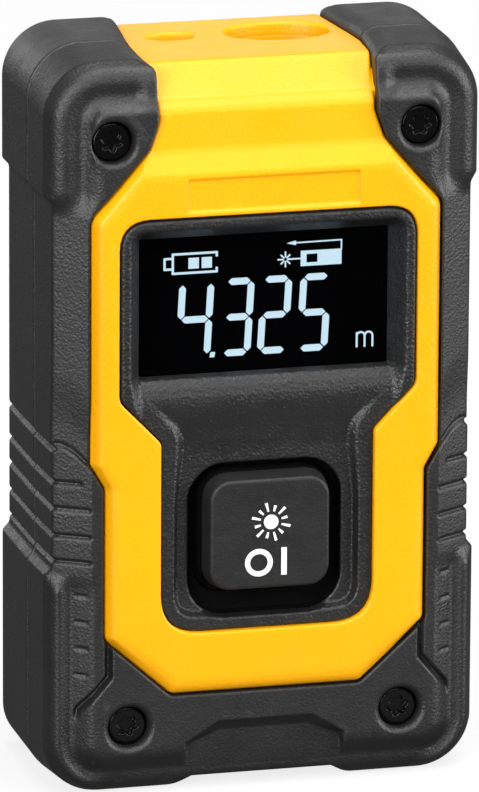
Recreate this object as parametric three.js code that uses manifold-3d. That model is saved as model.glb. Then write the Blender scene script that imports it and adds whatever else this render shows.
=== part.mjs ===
// Pocket laser distance meter, modelled as an assembly of separate pieces.
// Millimetres, +Z up. The meter stands on its base: X runs across the width, the display and
// the measuring key face -Y, and the laser and receiver ports look up through the top wall.
// The origin is the centre of the base, under the middle of the body's depth.
import * as THREE from "three";
import { mergeVertices } from "three/addons/utils/BufferGeometryUtils.js";
import { ConvexGeometry } from "three/addons/geometries/ConvexGeometry.js";
import Module from "manifold-3d";

const wasm = await Module();
wasm.setup();

// ---------------------------------------------------------------- driving dimensions
const LENGTH = 85; // base to the crest of the top bumpers, at the front edge of the side walls
const HALF_W = 24.9; // half width over the bumpers, at the same edge
const HALF_WAIST = 24.1; // half width at the waist between the bumpers, at the same edge
const DRAFT = [0.75, 0.6]; // growth of the outline at the parting plane and at the rear edge
const Y_BACK = 12.8; // rear face of the rubber rim
const Y_KEY = -12.8; // front face of the measuring key, the foremost face
const Y_FACE = -11.95; // front face of the yellow frame
const Y_PLAT = -11.2; // rubber platforms round the case screws
const Y_EDGE = -8.6; // where the side walls end and the front bevel starts
const Y_SPLIT = -1.0; // parting plane of the two half shells
const Y_REAR_EDGE = 10.6; // where the side walls turn into the rear rim
const CORNER_R = 6.5; // corner radius of the outline
const Z_PLATE = 84.2; // yellow top plate, below the bumpers' crest
const WAIST_Z = [26.3, 69.6]; // the narrower waist
const GROOVE_Z = [40.85, 37.0, 33.95, 30.8, 27.8]; // grip grooves
const FOOT_X = [8.2, 10.85]; // slope from the centre relief to the feet
const RELIEF_Z = 1.45; // height of the relief between the feet

const SHELL = { hw: 22.2, z0: 2.4, z1: 82.4, r: 5, wall: 1.5 }; // hard half shells
const Y_WALL = [-9.4, -7.8]; // front wall of the front shell
const Y_REAR_WALL = [10.8, 11.9]; // rear wall of the rear shell

const SCREWS = [
  [-17.78, 76.35],
  [17.78, 76.35],
  [-15.85, 8.18],
  [15.85, 8.18],
];
const SCREW = { headR: 2.1, headY: [-10.1, -8.95], shaftR: 1.1, tipY: 6.0, holeR: 2.35 };

const WINDOW = { hw: 14.3, z0: 48.75, z1: 64.55 }; // clear aperture of the display
const Y_GLASS = [-8.95, -7.95];
const KEY = { hw: 6.95, z0: 24.1, z1: 36.95, r: 2.2, travel: 0.6 };
const WELL = { hw: 8.7, z0: 22.4, z1: 38.5, y: -9.6 };

const PORT_S = { x: -7.2, y: 5.5, a: 2.7, b: 1.8 }; // laser port, half axes
const PORT_L = { x: 5.24, y: 5.5, a: 6.1, b: 4.2 }; // receiver port, half axes

const BOARD_Y = [1.4, 2.4];
const USB = { y: 4.05, hw: 4.47, hd: 1.6, z0: 7.15, z1: 14.4 };
const POCKET = { hw: 6.2, y0: 0.8, y1: 7.2, z1: 7.0 }; // charging pocket in the base
const HINGE = { y: 8.95, z: 1.0 }; // axis of the port cover

// ---------------------------------------------------------------- helpers
function solid(geometry) {
  const g = geometry.index ? geometry.toNonIndexed() : geometry.clone();
  const bare = new THREE.BufferGeometry().setAttribute("position", g.getAttribute("position"));
  const m = mergeVertices(bare, 1e-4);
  return new wasm.Manifold(
    new wasm.Mesh({
      numProp: 3,
      vertProperties: new Float32Array(m.attributes.position.array),
      triVerts: new Uint32Array(m.index.array),
    }),
  );
}
const cut = (a, ...bs) => bs.reduce((s, b) => s.subtract(b), a);
const join = (a, ...bs) => bs.reduce((s, b) => s.add(b), a);

// An outline of [x, z] points as a prism from y0 to y1.
function prism(points, y0, y1, bevel) {
  const shape = new THREE.Shape(points.map(([x, z]) => new THREE.Vector2(x, z)));
  const g = bevel
    ? new THREE.ExtrudeGeometry(shape, {
        depth: y1 - y0 - 2 * bevel.deep,
        bevelEnabled: true,
        bevelThickness: bevel.deep,
        bevelSize: bevel.side,
        bevelOffset: -bevel.side,
        bevelSegments: 1,
        curveSegments: 6,
      })
    : new THREE.ExtrudeGeometry(shape, { depth: y1 - y0, bevelEnabled: false });
  g.rotateX(Math.PI / 2);
  g.translate(0, bevel ? y1 - bevel.deep : y1, 0);
  return solid(g);
}
// The same along Z, from an outline of [x, y] points, and along X, from [y, z] points.
function prismZ(points, z0, z1) {
  const shape = new THREE.Shape(points.map(([x, y]) => new THREE.Vector2(x, y)));
  const g = new THREE.ExtrudeGeometry(shape, { depth: z1 - z0, bevelEnabled: false });
  g.translate(0, 0, z0);
  return solid(g);
}
function prismX(points, x0, x1) {
  const shape = new THREE.Shape(points.map(([y, z]) => new THREE.Vector2(y, z)));
  const g = new THREE.ExtrudeGeometry(shape, { depth: x1 - x0, bevelEnabled: false });
  g.rotateY(Math.PI / 2);
  g.rotateX(Math.PI / 2);
  g.translate(x0, 0, 0);
  return solid(g);
}
function box(x0, x1, y0, y1, z0, z1) {
  const g = new THREE.BoxGeometry(x1 - x0, y1 - y0, z1 - z0);
  g.translate((x0 + x1) / 2, (y0 + y1) / 2, (z0 + z1) / 2);
  return solid(g);
}
function cylY(x, z, r, y0, y1, n = 20, r2 = r) {
  const g = new THREE.CylinderGeometry(r2, r, y1 - y0, n);
  g.translate(x, (y0 + y1) / 2, z);
  return solid(g);
}
function cylZ(x, y, r, z0, z1, n = 24, r2 = r, squash = 1) {
  const g = new THREE.CylinderGeometry(r2, r, z1 - z0, n);
  g.rotateX(Math.PI / 2);
  g.scale(1, squash, 1);
  g.translate(x, y, (z0 + z1) / 2);
  return solid(g);
}
// A convex solid through outlines at several depths: [[y, [[x, z], ...]], ...].
function skinned(levels) {
  const pts = [];
  for (const [y, outline] of levels) for (const [x, z] of outline) pts.push(new THREE.Vector3(x, y, z));
  return solid(new ConvexGeometry(pts));
}
function skinnedZ(levels) {
  const pts = [];
  for (const [z, outline] of levels) for (const [x, y] of outline) pts.push(new THREE.Vector3(x, y, z));
  return solid(new ConvexGeometry(pts));
}
// Rounded rectangle, as points, anticlockwise seen from +depth.
function rounded(x0, x1, z0, z1, r, n = 4, rTop = r) {
  const pts = [];
  const corners = [
    [x1 - r, z0 + r, -90, r],
    [x1 - rTop, z1 - rTop, 0, rTop],
    [x0 + rTop, z1 - rTop, 90, rTop],
    [x0 + r, z0 + r, 180, r],
  ];
  for (const [cx, cz, a0, r] of corners)
    for (let i = 0; i <= n; i++) {
      const a = ((a0 + (90 * i) / n) * Math.PI) / 180;
      pts.push([cx + r * Math.cos(a), cz + r * Math.sin(a)]);
    }
  return pts;
}
// A polygon whose corners are rounded: [[x, z, r], ...].
function filleted(points, n = 3) {
  const out = [];
  const k = points.length;
  for (let i = 0; i < k; i++) {
    const [x, z, r] = points[i];
    if (!r) {
      out.push([x, z]);
      continue;
    }
    const a = new THREE.Vector2(...points[(i + k - 1) % k].slice(0, 2)).sub(new THREE.Vector2(x, z));
    const b = new THREE.Vector2(...points[(i + 1) % k].slice(0, 2)).sub(new THREE.Vector2(x, z));
    a.normalize();
    b.normalize();
    const half = Math.acos(Math.max(-1, Math.min(1, a.dot(b)))) / 2;
    const t = r / Math.tan(half);
    const p0 = new THREE.Vector2(x, z).addScaledVector(a, t);
    const p1 = new THREE.Vector2(x, z).addScaledVector(b, t);
    const curve = new THREE.QuadraticBezierCurve(p0, new THREE.Vector2(x, z), p1);
    for (const p of curve.getPoints(n)) out.push([p.x, p.y]);
  }
  return out;
}
const mirrored = (right) => [...right, ...right.slice().reverse().map(([x, z, r]) => [-x, z, r])];
const rr = (hw, z0, z1, r, n) => rounded(-hw, hw, z0, z1, r, n);

const root = new THREE.Group();
function piece(name, s, color, roughness = 0.6, metalness = 0) {
  const m = s.getMesh();
  const n = m.numProp;
  const v = new Float32Array(m.numVert * 3);
  for (let i = 0; i < m.numVert; i++) v.set(m.vertProperties.subarray(i * n, i * n + 3), i * 3);
  const g = new THREE.BufferGeometry()
    .setAttribute("position", new THREE.BufferAttribute(v, 3))
    .setIndex(new THREE.BufferAttribute(m.triVerts, 1));
  g.computeVertexNormals();
  const mesh = new THREE.Mesh(g, new THREE.MeshStandardMaterial({ color, roughness, metalness }));
  mesh.name = name;
  root.add(mesh);
  return mesh;
}
// A round tube along a smooth curve through points.
function tube(points, r, steps = 20, sides = 8) {
  const path = new THREE.CatmullRomCurve3(points.map((p) => new THREE.Vector3(...p)));
  const ring = new THREE.Shape(
    Array.from({ length: sides }, (_, i) => {
      const a = (2 * Math.PI * i) / sides;
      return new THREE.Vector2(r * Math.cos(a), r * Math.sin(a));
    }),
  );
  return solid(new THREE.ExtrudeGeometry(ring, { steps, extrudePath: path, bevelEnabled: false }));
}

// ---------------------------------------------------------------- outlines on the front
// Outer outline of the raised yellow frame.
const frameHalf = (g = 0) => [
  [11.0 + g * 0.4, 11.8 - g, 1.2],
  [18.65 + g, 18.7 - g * 0.4, 1.2],
  [18.65 + g, 36.4 + g * 0.3, 1],
  [20.2 + g, 39.2 + g * 0.3, 1],
  [20.2 + g, 67.9 + g * 0.4, 1.4],
  [13.9 + g * 0.4, 74.9 + g, 0.8],
];
const FRAME = filleted(mirrored(frameHalf()));
const FRAME_GAP = filleted(mirrored(frameHalf(0.15)));
// Outline of the dark insert that carries the display and the key.
const panelHalf = (g = 0) => [
  [12.25 + g, 19.2 - g, 4.6],
  [12.25 + g, 41.6 + g * 0.4, 1.2],
  [17.1 + g, 46.7 - g * 0.4, 1.6],
  [17.1 + g, 67.4 + g, 3.4],
];
const PANEL = filleted(mirrored(panelHalf()), 4);
const PANEL_GAP = filleted(mirrored(panelHalf(0.15)), 4);

// ---------------------------------------------------------------- the outer envelope
const outline = (d, zd = d) => rr(HALF_W - d, zd, LENGTH - zd, Math.max(0.8, CORNER_R - d), 5);
// The walls have draft: both sides and the top lean out to the parting plane, the base stays flat.
const growth = (y) =>
  y < Y_SPLIT
    ? (DRAFT[0] * (y - Y_EDGE)) / (Y_SPLIT - Y_EDGE)
    : DRAFT[0] + ((DRAFT[1] - DRAFT[0]) * (y - Y_SPLIT)) / (Y_REAR_EDGE - Y_SPLIT);
const grown = (b, d = 0) => {
  const hw = HALF_W + b - d;
  return rounded(-hw, hw, d, LENGTH + b - d, CORNER_R - 2.4 * b - d, 5, CORNER_R - d);
};
const envelope = skinned([
  [Y_PLAT, outline(3.9, 3.4)],
  [-10.1, outline(1.5)],
  [Y_EDGE, outline(0)],
  [Y_SPLIT, grown(DRAFT[0])],
  [Y_REAR_EDGE, grown(DRAFT[1])],
  [12.0, grown(DRAFT[1], 0.9)],
  [Y_BACK, grown(DRAFT[1], 2.4)],
]);

// The waist: a narrower stretch of both sides, with a bevel to the front.
function waistCut(side) {
  const [z0, z1] = WAIST_Z;
  const s = (x) => side * x;
  const flat = (y0, y1) => {
    const at = (x, y) => [s(x + growth(y)), y];
    const wide = [at(HALF_W, y0 + 1e-6), [s(30), y0], [s(30), y1], at(HALF_W, y1 - 1e-6)];
    const narrow = [at(HALF_WAIST, y0 + 1e-6), at(HALF_WAIST, y1 - 1e-6)];
    return skinnedZ([[z0 - 1.1, wide], [z0 + 0.4, narrow], [z1 - 0.2, narrow], [z1 + 1.0, wide]]);
  };
  const bevel = prismZ(
    side > 0
      ? [[HALF_WAIST, Y_EDGE], [20.2, -10.95], [20.2, -14], [30, -14], [30, Y_EDGE + 3.6]]
      : [[-30, Y_EDGE + 3.6], [-30, -14], [-20.2, -14], [-20.2, -10.95], [-HALF_WAIST, Y_EDGE]],
    z0 + 0.4,
    z1 - 0.2,
  );
  const under = prismZ(
    side > 0
      ? [[20.2, -10.95], [18.4, -10.95], [18.4, -14], [20.3, -14]].reverse()
      : [[-20.2, -10.95], [-18.4, -10.95], [-18.4, -14], [-20.3, -14]],
    z0 - 7,
    39.4,
  );
  return join(flat(-14, Y_SPLIT), flat(Y_SPLIT, 14), bevel, under);
}
// Grooves of the grip, one ring round each side and across the bevel.
function grooves(side) {
  const s = (x) => side * x;
  let all = null;
  for (const [i, z] of GROOVE_Z.entries()) {
    const inner = i === 0 ? 21.6 : 20.7;
    const side = (x, y0, y1) => [[s(x + growth(y0)), y0], [s(x + growth(y1)), y1], [s(27), y1], [s(27), y0]];
    const along = (y0, y1) =>
      skinnedZ([
        [z - 0.55, side(HALF_WAIST + 0.3, y0, y1)],
        [z, side(23.55, y0, y1)],
        [z + 0.35, side(HALF_WAIST + 0.3, y0, y1)],
      ]);
    const slope = (x, yi) => [[s(x), -8.4], [s(26), -8.4], [s(26), -14], [s(inner), -14], [s(inner), yi]];
    const ring = join(
      along(-8.9, Y_SPLIT),
      along(Y_SPLIT, 14),
      skinnedZ([
        [z - 0.55, slope(HALF_WAIST + 0.3, -10.9)],
        [z, slope(23.55, -10.35)],
        [z + 0.35, slope(HALF_WAIST + 0.3, -10.9)],
      ]),
    );
    all = all ? all.add(ring) : ring;
  }
  return all;
}
// The relief between the two feet and the finger relief in front of it.
const baseRelief = skinned([
  [-14, [[-FOOT_X[1], -0.2], [-FOOT_X[0], RELIEF_Z], [FOOT_X[0], RELIEF_Z], [FOOT_X[1], -0.2]]],
  [14, [[-FOOT_X[1], -0.2], [-FOOT_X[0], RELIEF_Z], [FOOT_X[0], RELIEF_Z], [FOOT_X[1], -0.2]]],
]);
const fingerRelief = skinned([
  [-13, [[-9.6, -1], [-9.6, 6.3], [-5.6, 8.9], [5.6, 8.9], [9.6, 6.3], [9.6, -1]]],
  [-10.2, [[-9.0, -1], [-9.0, 5.4], [-5.0, 7.2], [5.0, 7.2], [9.0, 5.4], [9.0, -1]]],
]);
const body = cut(envelope, waistCut(1), waistCut(-1), grooves(1), grooves(-1), baseRelief, fingerRelief);

// The gap in the rubber at the top, between the bumpers, where the yellow neck and top wall lie.
const neckPlan = (g) => [
  [-12.35 - g, -14], [12.35 + g, -14], [12.35 + g, -8.6], [13.2 + g, -1], [14.1 + g, 14],
  [-14.1 - g, 14], [-13.2 - g, -1], [-12.35 - g, -8.6],
];
const shellOutline = (d) => rr(SHELL.hw - d, SHELL.z0 + d, SHELL.z1 - d, SHELL.r - d, 4);
const shellOuter = (g) =>
  join(
    skinned([
      [Y_WALL[0] - g, rr(SHELL.hw - 1.8 + g, SHELL.z0 + 0.6 - g, SHELL.z1 - 0.6 + g, SHELL.r + g, 4)],
      [-7.4, rr(SHELL.hw + g, SHELL.z0 - g, SHELL.z1 + g, SHELL.r + g, 4)],
    ]),
    prism(rr(SHELL.hw + g, SHELL.z0 - g, SHELL.z1 + g, SHELL.r + g, 4), -7.41, 12.05),
  );

// ---------------------------------------------------------------- front shell (yellow)
const bossFront = ([x, z]) => cylY(x, z, 2.55, Y_WALL[1] - 0.6, Y_SPLIT - 0.1, 12);
let front = shellOuter(0).intersect(box(-40, 40, -12, Y_SPLIT - 0.1, -5, 100));
front = cut(
  front,
  skinned([
    [Y_WALL[1], rr(SHELL.hw - SHELL.wall - 1.6, SHELL.z0 + SHELL.wall + 0.4, SHELL.z1 - SHELL.wall - 0.4, 3.4, 3)],
    [-6.4, shellOutline(SHELL.wall)],
    [0, shellOutline(SHELL.wall)],
  ]),
);
front = join(front, ...SCREWS.map(bossFront));
// Raised frame with a chamfered edge.
front = join(front, prism(FRAME, Y_FACE, -8.0, { deep: 1.0, side: 0.6 }));
front = cut(
  front,
  prismX([[-10.6, 75.6], [-10.6, 74.9], [-11.95, 72.7], [-13, 72.7], [-13, 75.6]], -16, 16),
);
// Neck that rises to the top wall, and the top wall itself.
const neck = prismX(
  [[-10.6, 70], [-10.6, 79.6], [-6.2, Z_PLATE], [12.6, Z_PLATE], [12.6, 82.55], [-5.4, 82.55], [-9.1, 79.0], [-9.1, 70]],
  -20,
  20,
);
front = join(front, neck.intersect(prismZ(neckPlan(0), 60, 90)));
// Thicker stock under the top wall for the two ports.
front = join(front, box(-11.6, 12.6, 0.4, 10.4, 80.0, 82.9));
// Ports: tapered, wider at the top.
front = cut(
  front,
  cylZ(PORT_S.x, PORT_S.y, PORT_S.a * 0.74, 79, Z_PLATE + 0.01, 24, PORT_S.a, PORT_S.b / PORT_S.a),
  cylZ(PORT_L.x, PORT_L.y, PORT_L.a * 0.86, 79, Z_PLATE + 0.01, 32, PORT_L.a, PORT_L.b / PORT_L.a),
);
front = cut(front, prism(PANEL_GAP, -13, -7.0));
for (const [x, z] of SCREWS)
  front = cut(front, cylY(x, z, 1.35, -12, 0, 16), cylY(x, z, 2.35, -12, -8.9, 20));
// Seal groove in the joint face.
const sealRing = (w, y0, y1) => {
  const ring = cut(
    prism(shellOutline(0.75 - w), y0, y1),
    prism(shellOutline(0.75 + w), y0 - 1, y1 + 1),
  );
  return cut(ring, box(-30, 30, -5, 5, 77.5, 90));
};
front = cut(front, sealRing(0.42, Y_SPLIT - 0.6, Y_SPLIT + 0.2));
piece("front_housing", front, 0xffc90a, 0.45);

// ---------------------------------------------------------------- front rubber overmould
let frontRubber = body.intersect(box(-40, 40, -20, Y_SPLIT - 0.08, -10, 100));
frontRubber = cut(
  frontRubber,
  shellOuter(0.15),
  prism(FRAME_GAP, -14, -8),
  prismZ(neckPlan(0.15), 70, 90).intersect(box(-40, 40, -14, 0, 77.2, 90)),
  prism(filleted(mirrored([[12.5, 70, 0], [12.5, 86, 0]])), -14, -8),
);
for (const [x, z] of SCREWS) frontRubber = cut(frontRubber, cylY(x, z, SCREW.holeR, -14, -8, 24));
piece("front_overmould", frontRubber, 0x2d2d2f, 0.75);

// ---------------------------------------------------------------- rear shell
const bossRear = ([x, z]) => cylY(x, z, 2.55, Y_SPLIT + 0.1, 11.2, 12);
const STANDOFFS = [
  [-16.6, 48.4],
  [16.6, 48.4],
  [-16.6, 17.0],
  [16.6, 17.0],
];
const BLOCK_EARS = [
  [-14.6, 66.0],
  [15.9, 66.0],
];
let rear = prism(shellOutline(0), Y_SPLIT + 0.1, Y_REAR_WALL[1]);
rear = cut(rear, prism(shellOutline(SHELL.wall), Y_SPLIT - 1, Y_REAR_WALL[0]));
rear = join(rear, ...SCREWS.map(bossRear));
rear = join(rear, ...STANDOFFS.map(([x, z]) => cylY(x, z, 2.1, 2.55, 11.2, 14)));
rear = join(rear, ...BLOCK_EARS.map(([x, z]) => cylY(x, z, 2.1, 7.2, 11.2, 14)));
rear = join(rear, prism(rr(19.2, 7.3, 77.7, 3.5, 3), 11.5, 12.4)); // pad that shows in the rubber frame
rear = cut(rear, prism(rr(12.3, 19.7, 60.3, 1.2, 2), 12.2, 13)); // seat of the rating plate
// Open top: the front shell's top wall closes it.
rear = cut(rear, box(-14.6, 14.6, -3, 12.75, 79.0, 90));
// Charging pocket with its collar.
rear = join(rear, box(-POCKET.hw - 1.2, POCKET.hw + 1.2, -0.5, POCKET.y1 + 1.1, 3.0, POCKET.z1));
rear = cut(rear, box(-POCKET.hw, POCKET.hw, POCKET.y0, POCKET.y1, 0, 8));
rear = cut(rear, box(-3.2, 3.2, 9.6, 10.6, 0, 4.6)); // slot of the cover's anchor
for (const [x, z] of SCREWS) rear = cut(rear, cylY(x, z, 1.22, -2, 7, 16));
for (const [x, z] of [STANDOFFS[0], STANDOFFS[3]]) rear = cut(rear, cylY(x, z, 0.85, 0, 8, 12));
for (const [x, z] of BLOCK_EARS) rear = cut(rear, cylY(x, z, 0.85, 5, 10, 12));
rear = cut(rear, sealRing(0.42, Y_SPLIT - 0.2, Y_SPLIT + 0.6));
piece("rear_housing", rear, 0x35363a, 0.6);

// ---------------------------------------------------------------- rear rubber overmould
let rearRubber = body.intersect(box(-40, 40, Y_SPLIT + 0.08, 20, -10, 100));
rearRubber = cut(
  rearRubber,
  shellOuter(0.15),
  prism(rr(19.5, 7.0, 78.0, 3.8, 3), 11, 14),
  prismZ(neckPlan(0.15), 77, 90).intersect(box(-40, 40, -2, 14, 82.2, 90)),
  box(-POCKET.hw - 0.05, POCKET.hw + 0.05, POCKET.y0 - 0.05, POCKET.y1 + 0.05, 0, 4),
  box(-3.25, 3.25, 9.55, 10.65, 0, 4),
);
piece("rear_overmould", rearRubber, 0x2d2d2f, 0.75);

// ---------------------------------------------------------------- perimeter seal
piece("case_seal", sealRing(0.3, Y_SPLIT - 0.5, Y_SPLIT + 0.5), 0x1a1a1a, 0.9);

// ---------------------------------------------------------------- display and key insert
let panel = prism(PANEL, -11.85, -8.3);
// Shallow floor inside a narrow rim.
panel = cut(
  panel,
  prism(filleted(mirrored([[11.35, 20.1, 3.9], [11.35, 42.0, 1.0], [15.6, 46.4, 0.6]]), 3), -13, -11.45),
);
panel = cut(
  panel,
  skinned([
    [-12.0, rr(16.2, 46.2, 66.5, 2.6, 3)],
    [-9.5, rr(WINDOW.hw, WINDOW.z0, WINDOW.z1, 0.6, 2)],
  ]),
  prism(rr(WINDOW.hw, WINDOW.z0, WINDOW.z1, 0.6, 2), -12, -8),
  box(-15.1, 15.1, -9.0, -8, 47.9, 65.4),
  skinned([
    [-11.5, rr(WELL.hw + 0.3, WELL.z0 - 0.3, WELL.z1 + 0.3, 3.6, 3)],
    [WELL.y, rr(WELL.hw - 0.3, WELL.z0 + 0.3, WELL.z1 - 0.3, 3.2, 3)],
  ]),
  prism(rr(KEY.hw + 0.2, KEY.z0 - 0.2, KEY.z1 + 0.2, KEY.r + 0.2, 3), -12, -8),
);
piece("display_bezel", panel, 0x2b2b2d, 0.6);
piece("display_window", box(-14.9, 14.9, ...Y_GLASS, 48.1, 65.2), 0x101418, 0.08);
piece(
  "window_seal",
  cut(box(-14.9, 14.9, -7.85, -7.4, 48.1, 65.2), box(-14.0, 14.0, -9, -7, 49.0, 64.3)),
  0x0c0c0c,
  0.9,
);
piece("display_panel", box(-15.0, 15.0, -7.3, -5.6, 47.5, 66.0), 0x08090c, 0.2);
piece("display_backlight", box(-15.0, 15.0, -5.5, -4.15, 47.5, 66.0), 0xe8eef2, 0.4);
piece(
  "display_carrier",
  cut(
    box(-16.4, 16.4, -7.3, -3.4, 46.2, 67.2),
    box(-15.15, 15.15, -8, -4.0, 47.3, 66.2),
    box(-8, 8, -5, -3, 47.8, 50.2),
  ),
  0xd9d9d4,
  0.6,
);

// ---------------------------------------------------------------- measuring key
let key = prism(rr(KEY.hw, KEY.z0, KEY.z1, KEY.r, 4), Y_KEY, -7.7, { deep: 0.45, side: 0.45 });
key = join(key, prism(rr(8.2, 22.85, 38.2, 1.2, 2), -8.1, -7.3));
key = join(key, box(-1.6, 1.6, -7.6, -3.35, 28.95, 32.15));
piece("measure_key", key, 0x29292b, 0.65);
piece("switch_plunger", cylY(0, 30.55, 1.6, -3.2, -0.7, 16), 0x1b1b1d, 0.5);
piece(
  "switch_body",
  cut(box(-3.1, 3.1, -1.9, 1.32, 27.45, 33.65), cylY(0, 30.55, 1.75, -3, 0.3, 16)),
  0x3a3a3c,
  0.5,
);

// ---------------------------------------------------------------- case screws
// Six-lobe driver socket outline.
const lobes = Array.from({ length: 24 }, (_, i) => {
  const a = (2 * Math.PI * i) / 24;
  const r = 1.02 + 0.22 * Math.cos(6 * a);
  return [r * Math.cos(a), r * Math.sin(a)];
});
SCREWS.forEach(([x, z], i) => {
  let s = cylY(x, z, SCREW.headR, SCREW.headY[0] + 0.35, SCREW.headY[1], 20);
  s = join(s, cylY(x, z, SCREW.headR - 0.4, SCREW.headY[0], SCREW.headY[0] + 0.36, 20, SCREW.headR));
  s = join(s, cylY(x, z, SCREW.shaftR, SCREW.headY[1] - 0.1, SCREW.tipY - 0.8, 12));
  s = join(s, cylY(x, z, SCREW.shaftR, SCREW.tipY - 0.82, SCREW.tipY, 12, 0.4));
  s = cut(s, prism(lobes.map(([a, b]) => [x + a, z + b]), SCREW.headY[0] - 1, SCREW.headY[0] + 0.75));
  piece("case_screw_" + (i + 1), s, 0x0e0e10, 0.4, 0.7);
});

// ---------------------------------------------------------------- boards and electronics
piece(
  "main_board",
  cut(
    prism(
      [[-12.3, 7.3], [12.3, 7.3], [12.3, 13.0], [19.6, 13.0], [19.6, 52], [-19.6, 52], [-19.6, 13.0], [-12.3, 13.0]],
      ...BOARD_Y,
    ),
    cylY(...STANDOFFS[0], 1.0, 0, 4, 12),
    cylY(...STANDOFFS[3], 1.0, 0, 4, 12),
  ),
  0x0f4a2c,
  0.5,
);
piece("main_processor", box(-12, -4.6, 0.35, 1.35, 34.6, 42.0), 0x16161a, 0.4);
piece("shield_can", box(0.5, 12.5, 2.45, 4.2, 28, 42), 0xb9bcc0, 0.3, 0.9);
piece("sounder", cylY(12.4, 23.0, 4.4, -1.7, 1.35, 20), 0x111113, 0.4);
piece("flex_connector", box(-8.4, 8.4, 0.2, 1.35, 42.6, 45.0), 0xe6e0cf, 0.6);
piece(
  "display_flex",
  prismX(
    [[-4.05, 48.5], [-1.3, 48.5], [0.55, 46.7], [0.55, 45.1], [0.8, 45.1], [0.8, 46.8], [-1.2, 48.75], [-4.05, 48.75]].reverse(),
    -7,
    7,
  ),
  0xb8711f,
  0.4,
);
for (const [i, [x, z]] of [STANDOFFS[0], STANDOFFS[3]].entries())
  piece(
    "board_screw_" + (i + 1),
    join(cylY(x, z, 1.5, 0.5, 1.35, 14), cylY(x, z, 0.72, 1.2, 6.6, 12)),
    0xa8aaad,
    0.3,
    0.9,
  );

// ---------------------------------------------------------------- battery
piece("battery_cell", prism(rr(13.2, 15.4, 46.4, 1.2, 3), 4.7, 10.2, { deep: 0.6, side: 0.6 }), 0x8f9499, 0.35, 0.4);
piece("battery_pad", box(-10, 10, 10.26, 10.72, 18, 44), 0x3f4245, 0.95);
piece("battery_connector", box(-13.0, -6.4, 2.45, 5.0, 48.6, 51.6), 0xefe9da, 0.6);
piece("battery_lead_red", tube([[-9.0, 7.4, 46.62], [-9.0, 7.6, 49.2], [-11.0, 7.0, 50.3], [-11.4, 5.12, 50.1]], 0.45, 14), 0xb3181c, 0.5);
piece("battery_lead_black", tube([[-6.4, 7.4, 46.62], [-6.4, 8.3, 49.6], [-8.2, 7.2, 51.2], [-8.8, 5.12, 50.1]], 0.45, 14), 0x141414, 0.5);

// ---------------------------------------------------------------- charging socket and its cover
piece(
  "charging_socket",
  cut(
    prismZ(rounded(-USB.hw, USB.hw, USB.y - USB.hd, USB.y + USB.hd, 1.55, 4), USB.z0, USB.z1),
    prismZ(rounded(-USB.hw + 0.35, USB.hw - 0.35, USB.y - USB.hd + 0.35, USB.y + USB.hd - 0.35, 1.2, 4), USB.z0 - 1, USB.z1 - 1.2),
  ),
  0xc3c5c8,
  0.25,
  0.9,
);
piece("socket_tongue", box(-3.3, 3.3, USB.y - 0.35, USB.y + 0.35, 8.2, 13.1), 0x17171a, 0.5);
const coverPlan = rounded(-7.5, 7.5, -0.4, 8.3, 1.6, 4);
let cover = prismZ(coverPlan, 0.45, 1.3);
cover = join(cover, box(-3, 3, 8.0, 8.7, 0.65, 1.25));
cover = join(
  cover,
  cut(
    prismZ(rounded(-POCKET.hw + 0.35, POCKET.hw - 0.35, POCKET.y0 + 0.35, POCKET.y1 - 0.35, 0.8, 3), 1.2, 2.5),
    prismZ(rounded(-POCKET.hw + 1.15, POCKET.hw - 1.15, POCKET.y0 + 1.1, POCKET.y1 - 1.1, 0.5, 3), 0.9, 3),
  ),
);
cover = join(cover, box(-2.2, 2.2, -1.3, 0, 0.45, 1.1)); // finger tab
piece("port_cover", cover, 0x2a2a2c, 0.8);
piece("cover_anchor", join(box(-3, 3, 9.75, 10.45, 0.75, 3.2), box(-2.6, 2.6, 9.85, 10.35, 3.1, 4.3)), 0x2a2a2c, 0.8);

// ---------------------------------------------------------------- optics
let block = box(-12.2, 13.4, -0.6, 10.4, 58.3, 79.2);
block = join(block, box(-16.8, -12.0, 4.4, 7.1, 63.6, 68.4), box(13.2, 18.1, 4.4, 7.1, 63.6, 68.4));
block = cut(
  block,
  cylZ(PORT_S.x, PORT_S.y, 3.1, 57, 81, 24),
  cylZ(PORT_L.x, PORT_L.y, 3.3, 60.2, 76.0, 24, 5.9, 0.74),
  cylZ(PORT_L.x, PORT_L.y, 3.3, 57, 60.3, 24, 3.3, 0.9),
  cylZ(PORT_L.x, PORT_L.y, 6.4, 75.9, 81, 32, 6.4, 0.745),
  cylY(...BLOCK_EARS[0], 1.0, 3, 8, 12),
  cylY(...BLOCK_EARS[1], 1.0, 3, 8, 12),
);
piece("optical_block", block, 0x232428, 0.5, 0.3);
BLOCK_EARS.forEach(([x, z], i) =>
  piece(
    "block_screw_" + (i + 1),
    join(cylY(x, z, 1.5, 3.4, 4.35, 14), cylY(x, z, 0.72, 4.2, 9.6, 12)),
    0xa8aaad,
    0.3,
    0.9,
  ),
);
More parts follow.
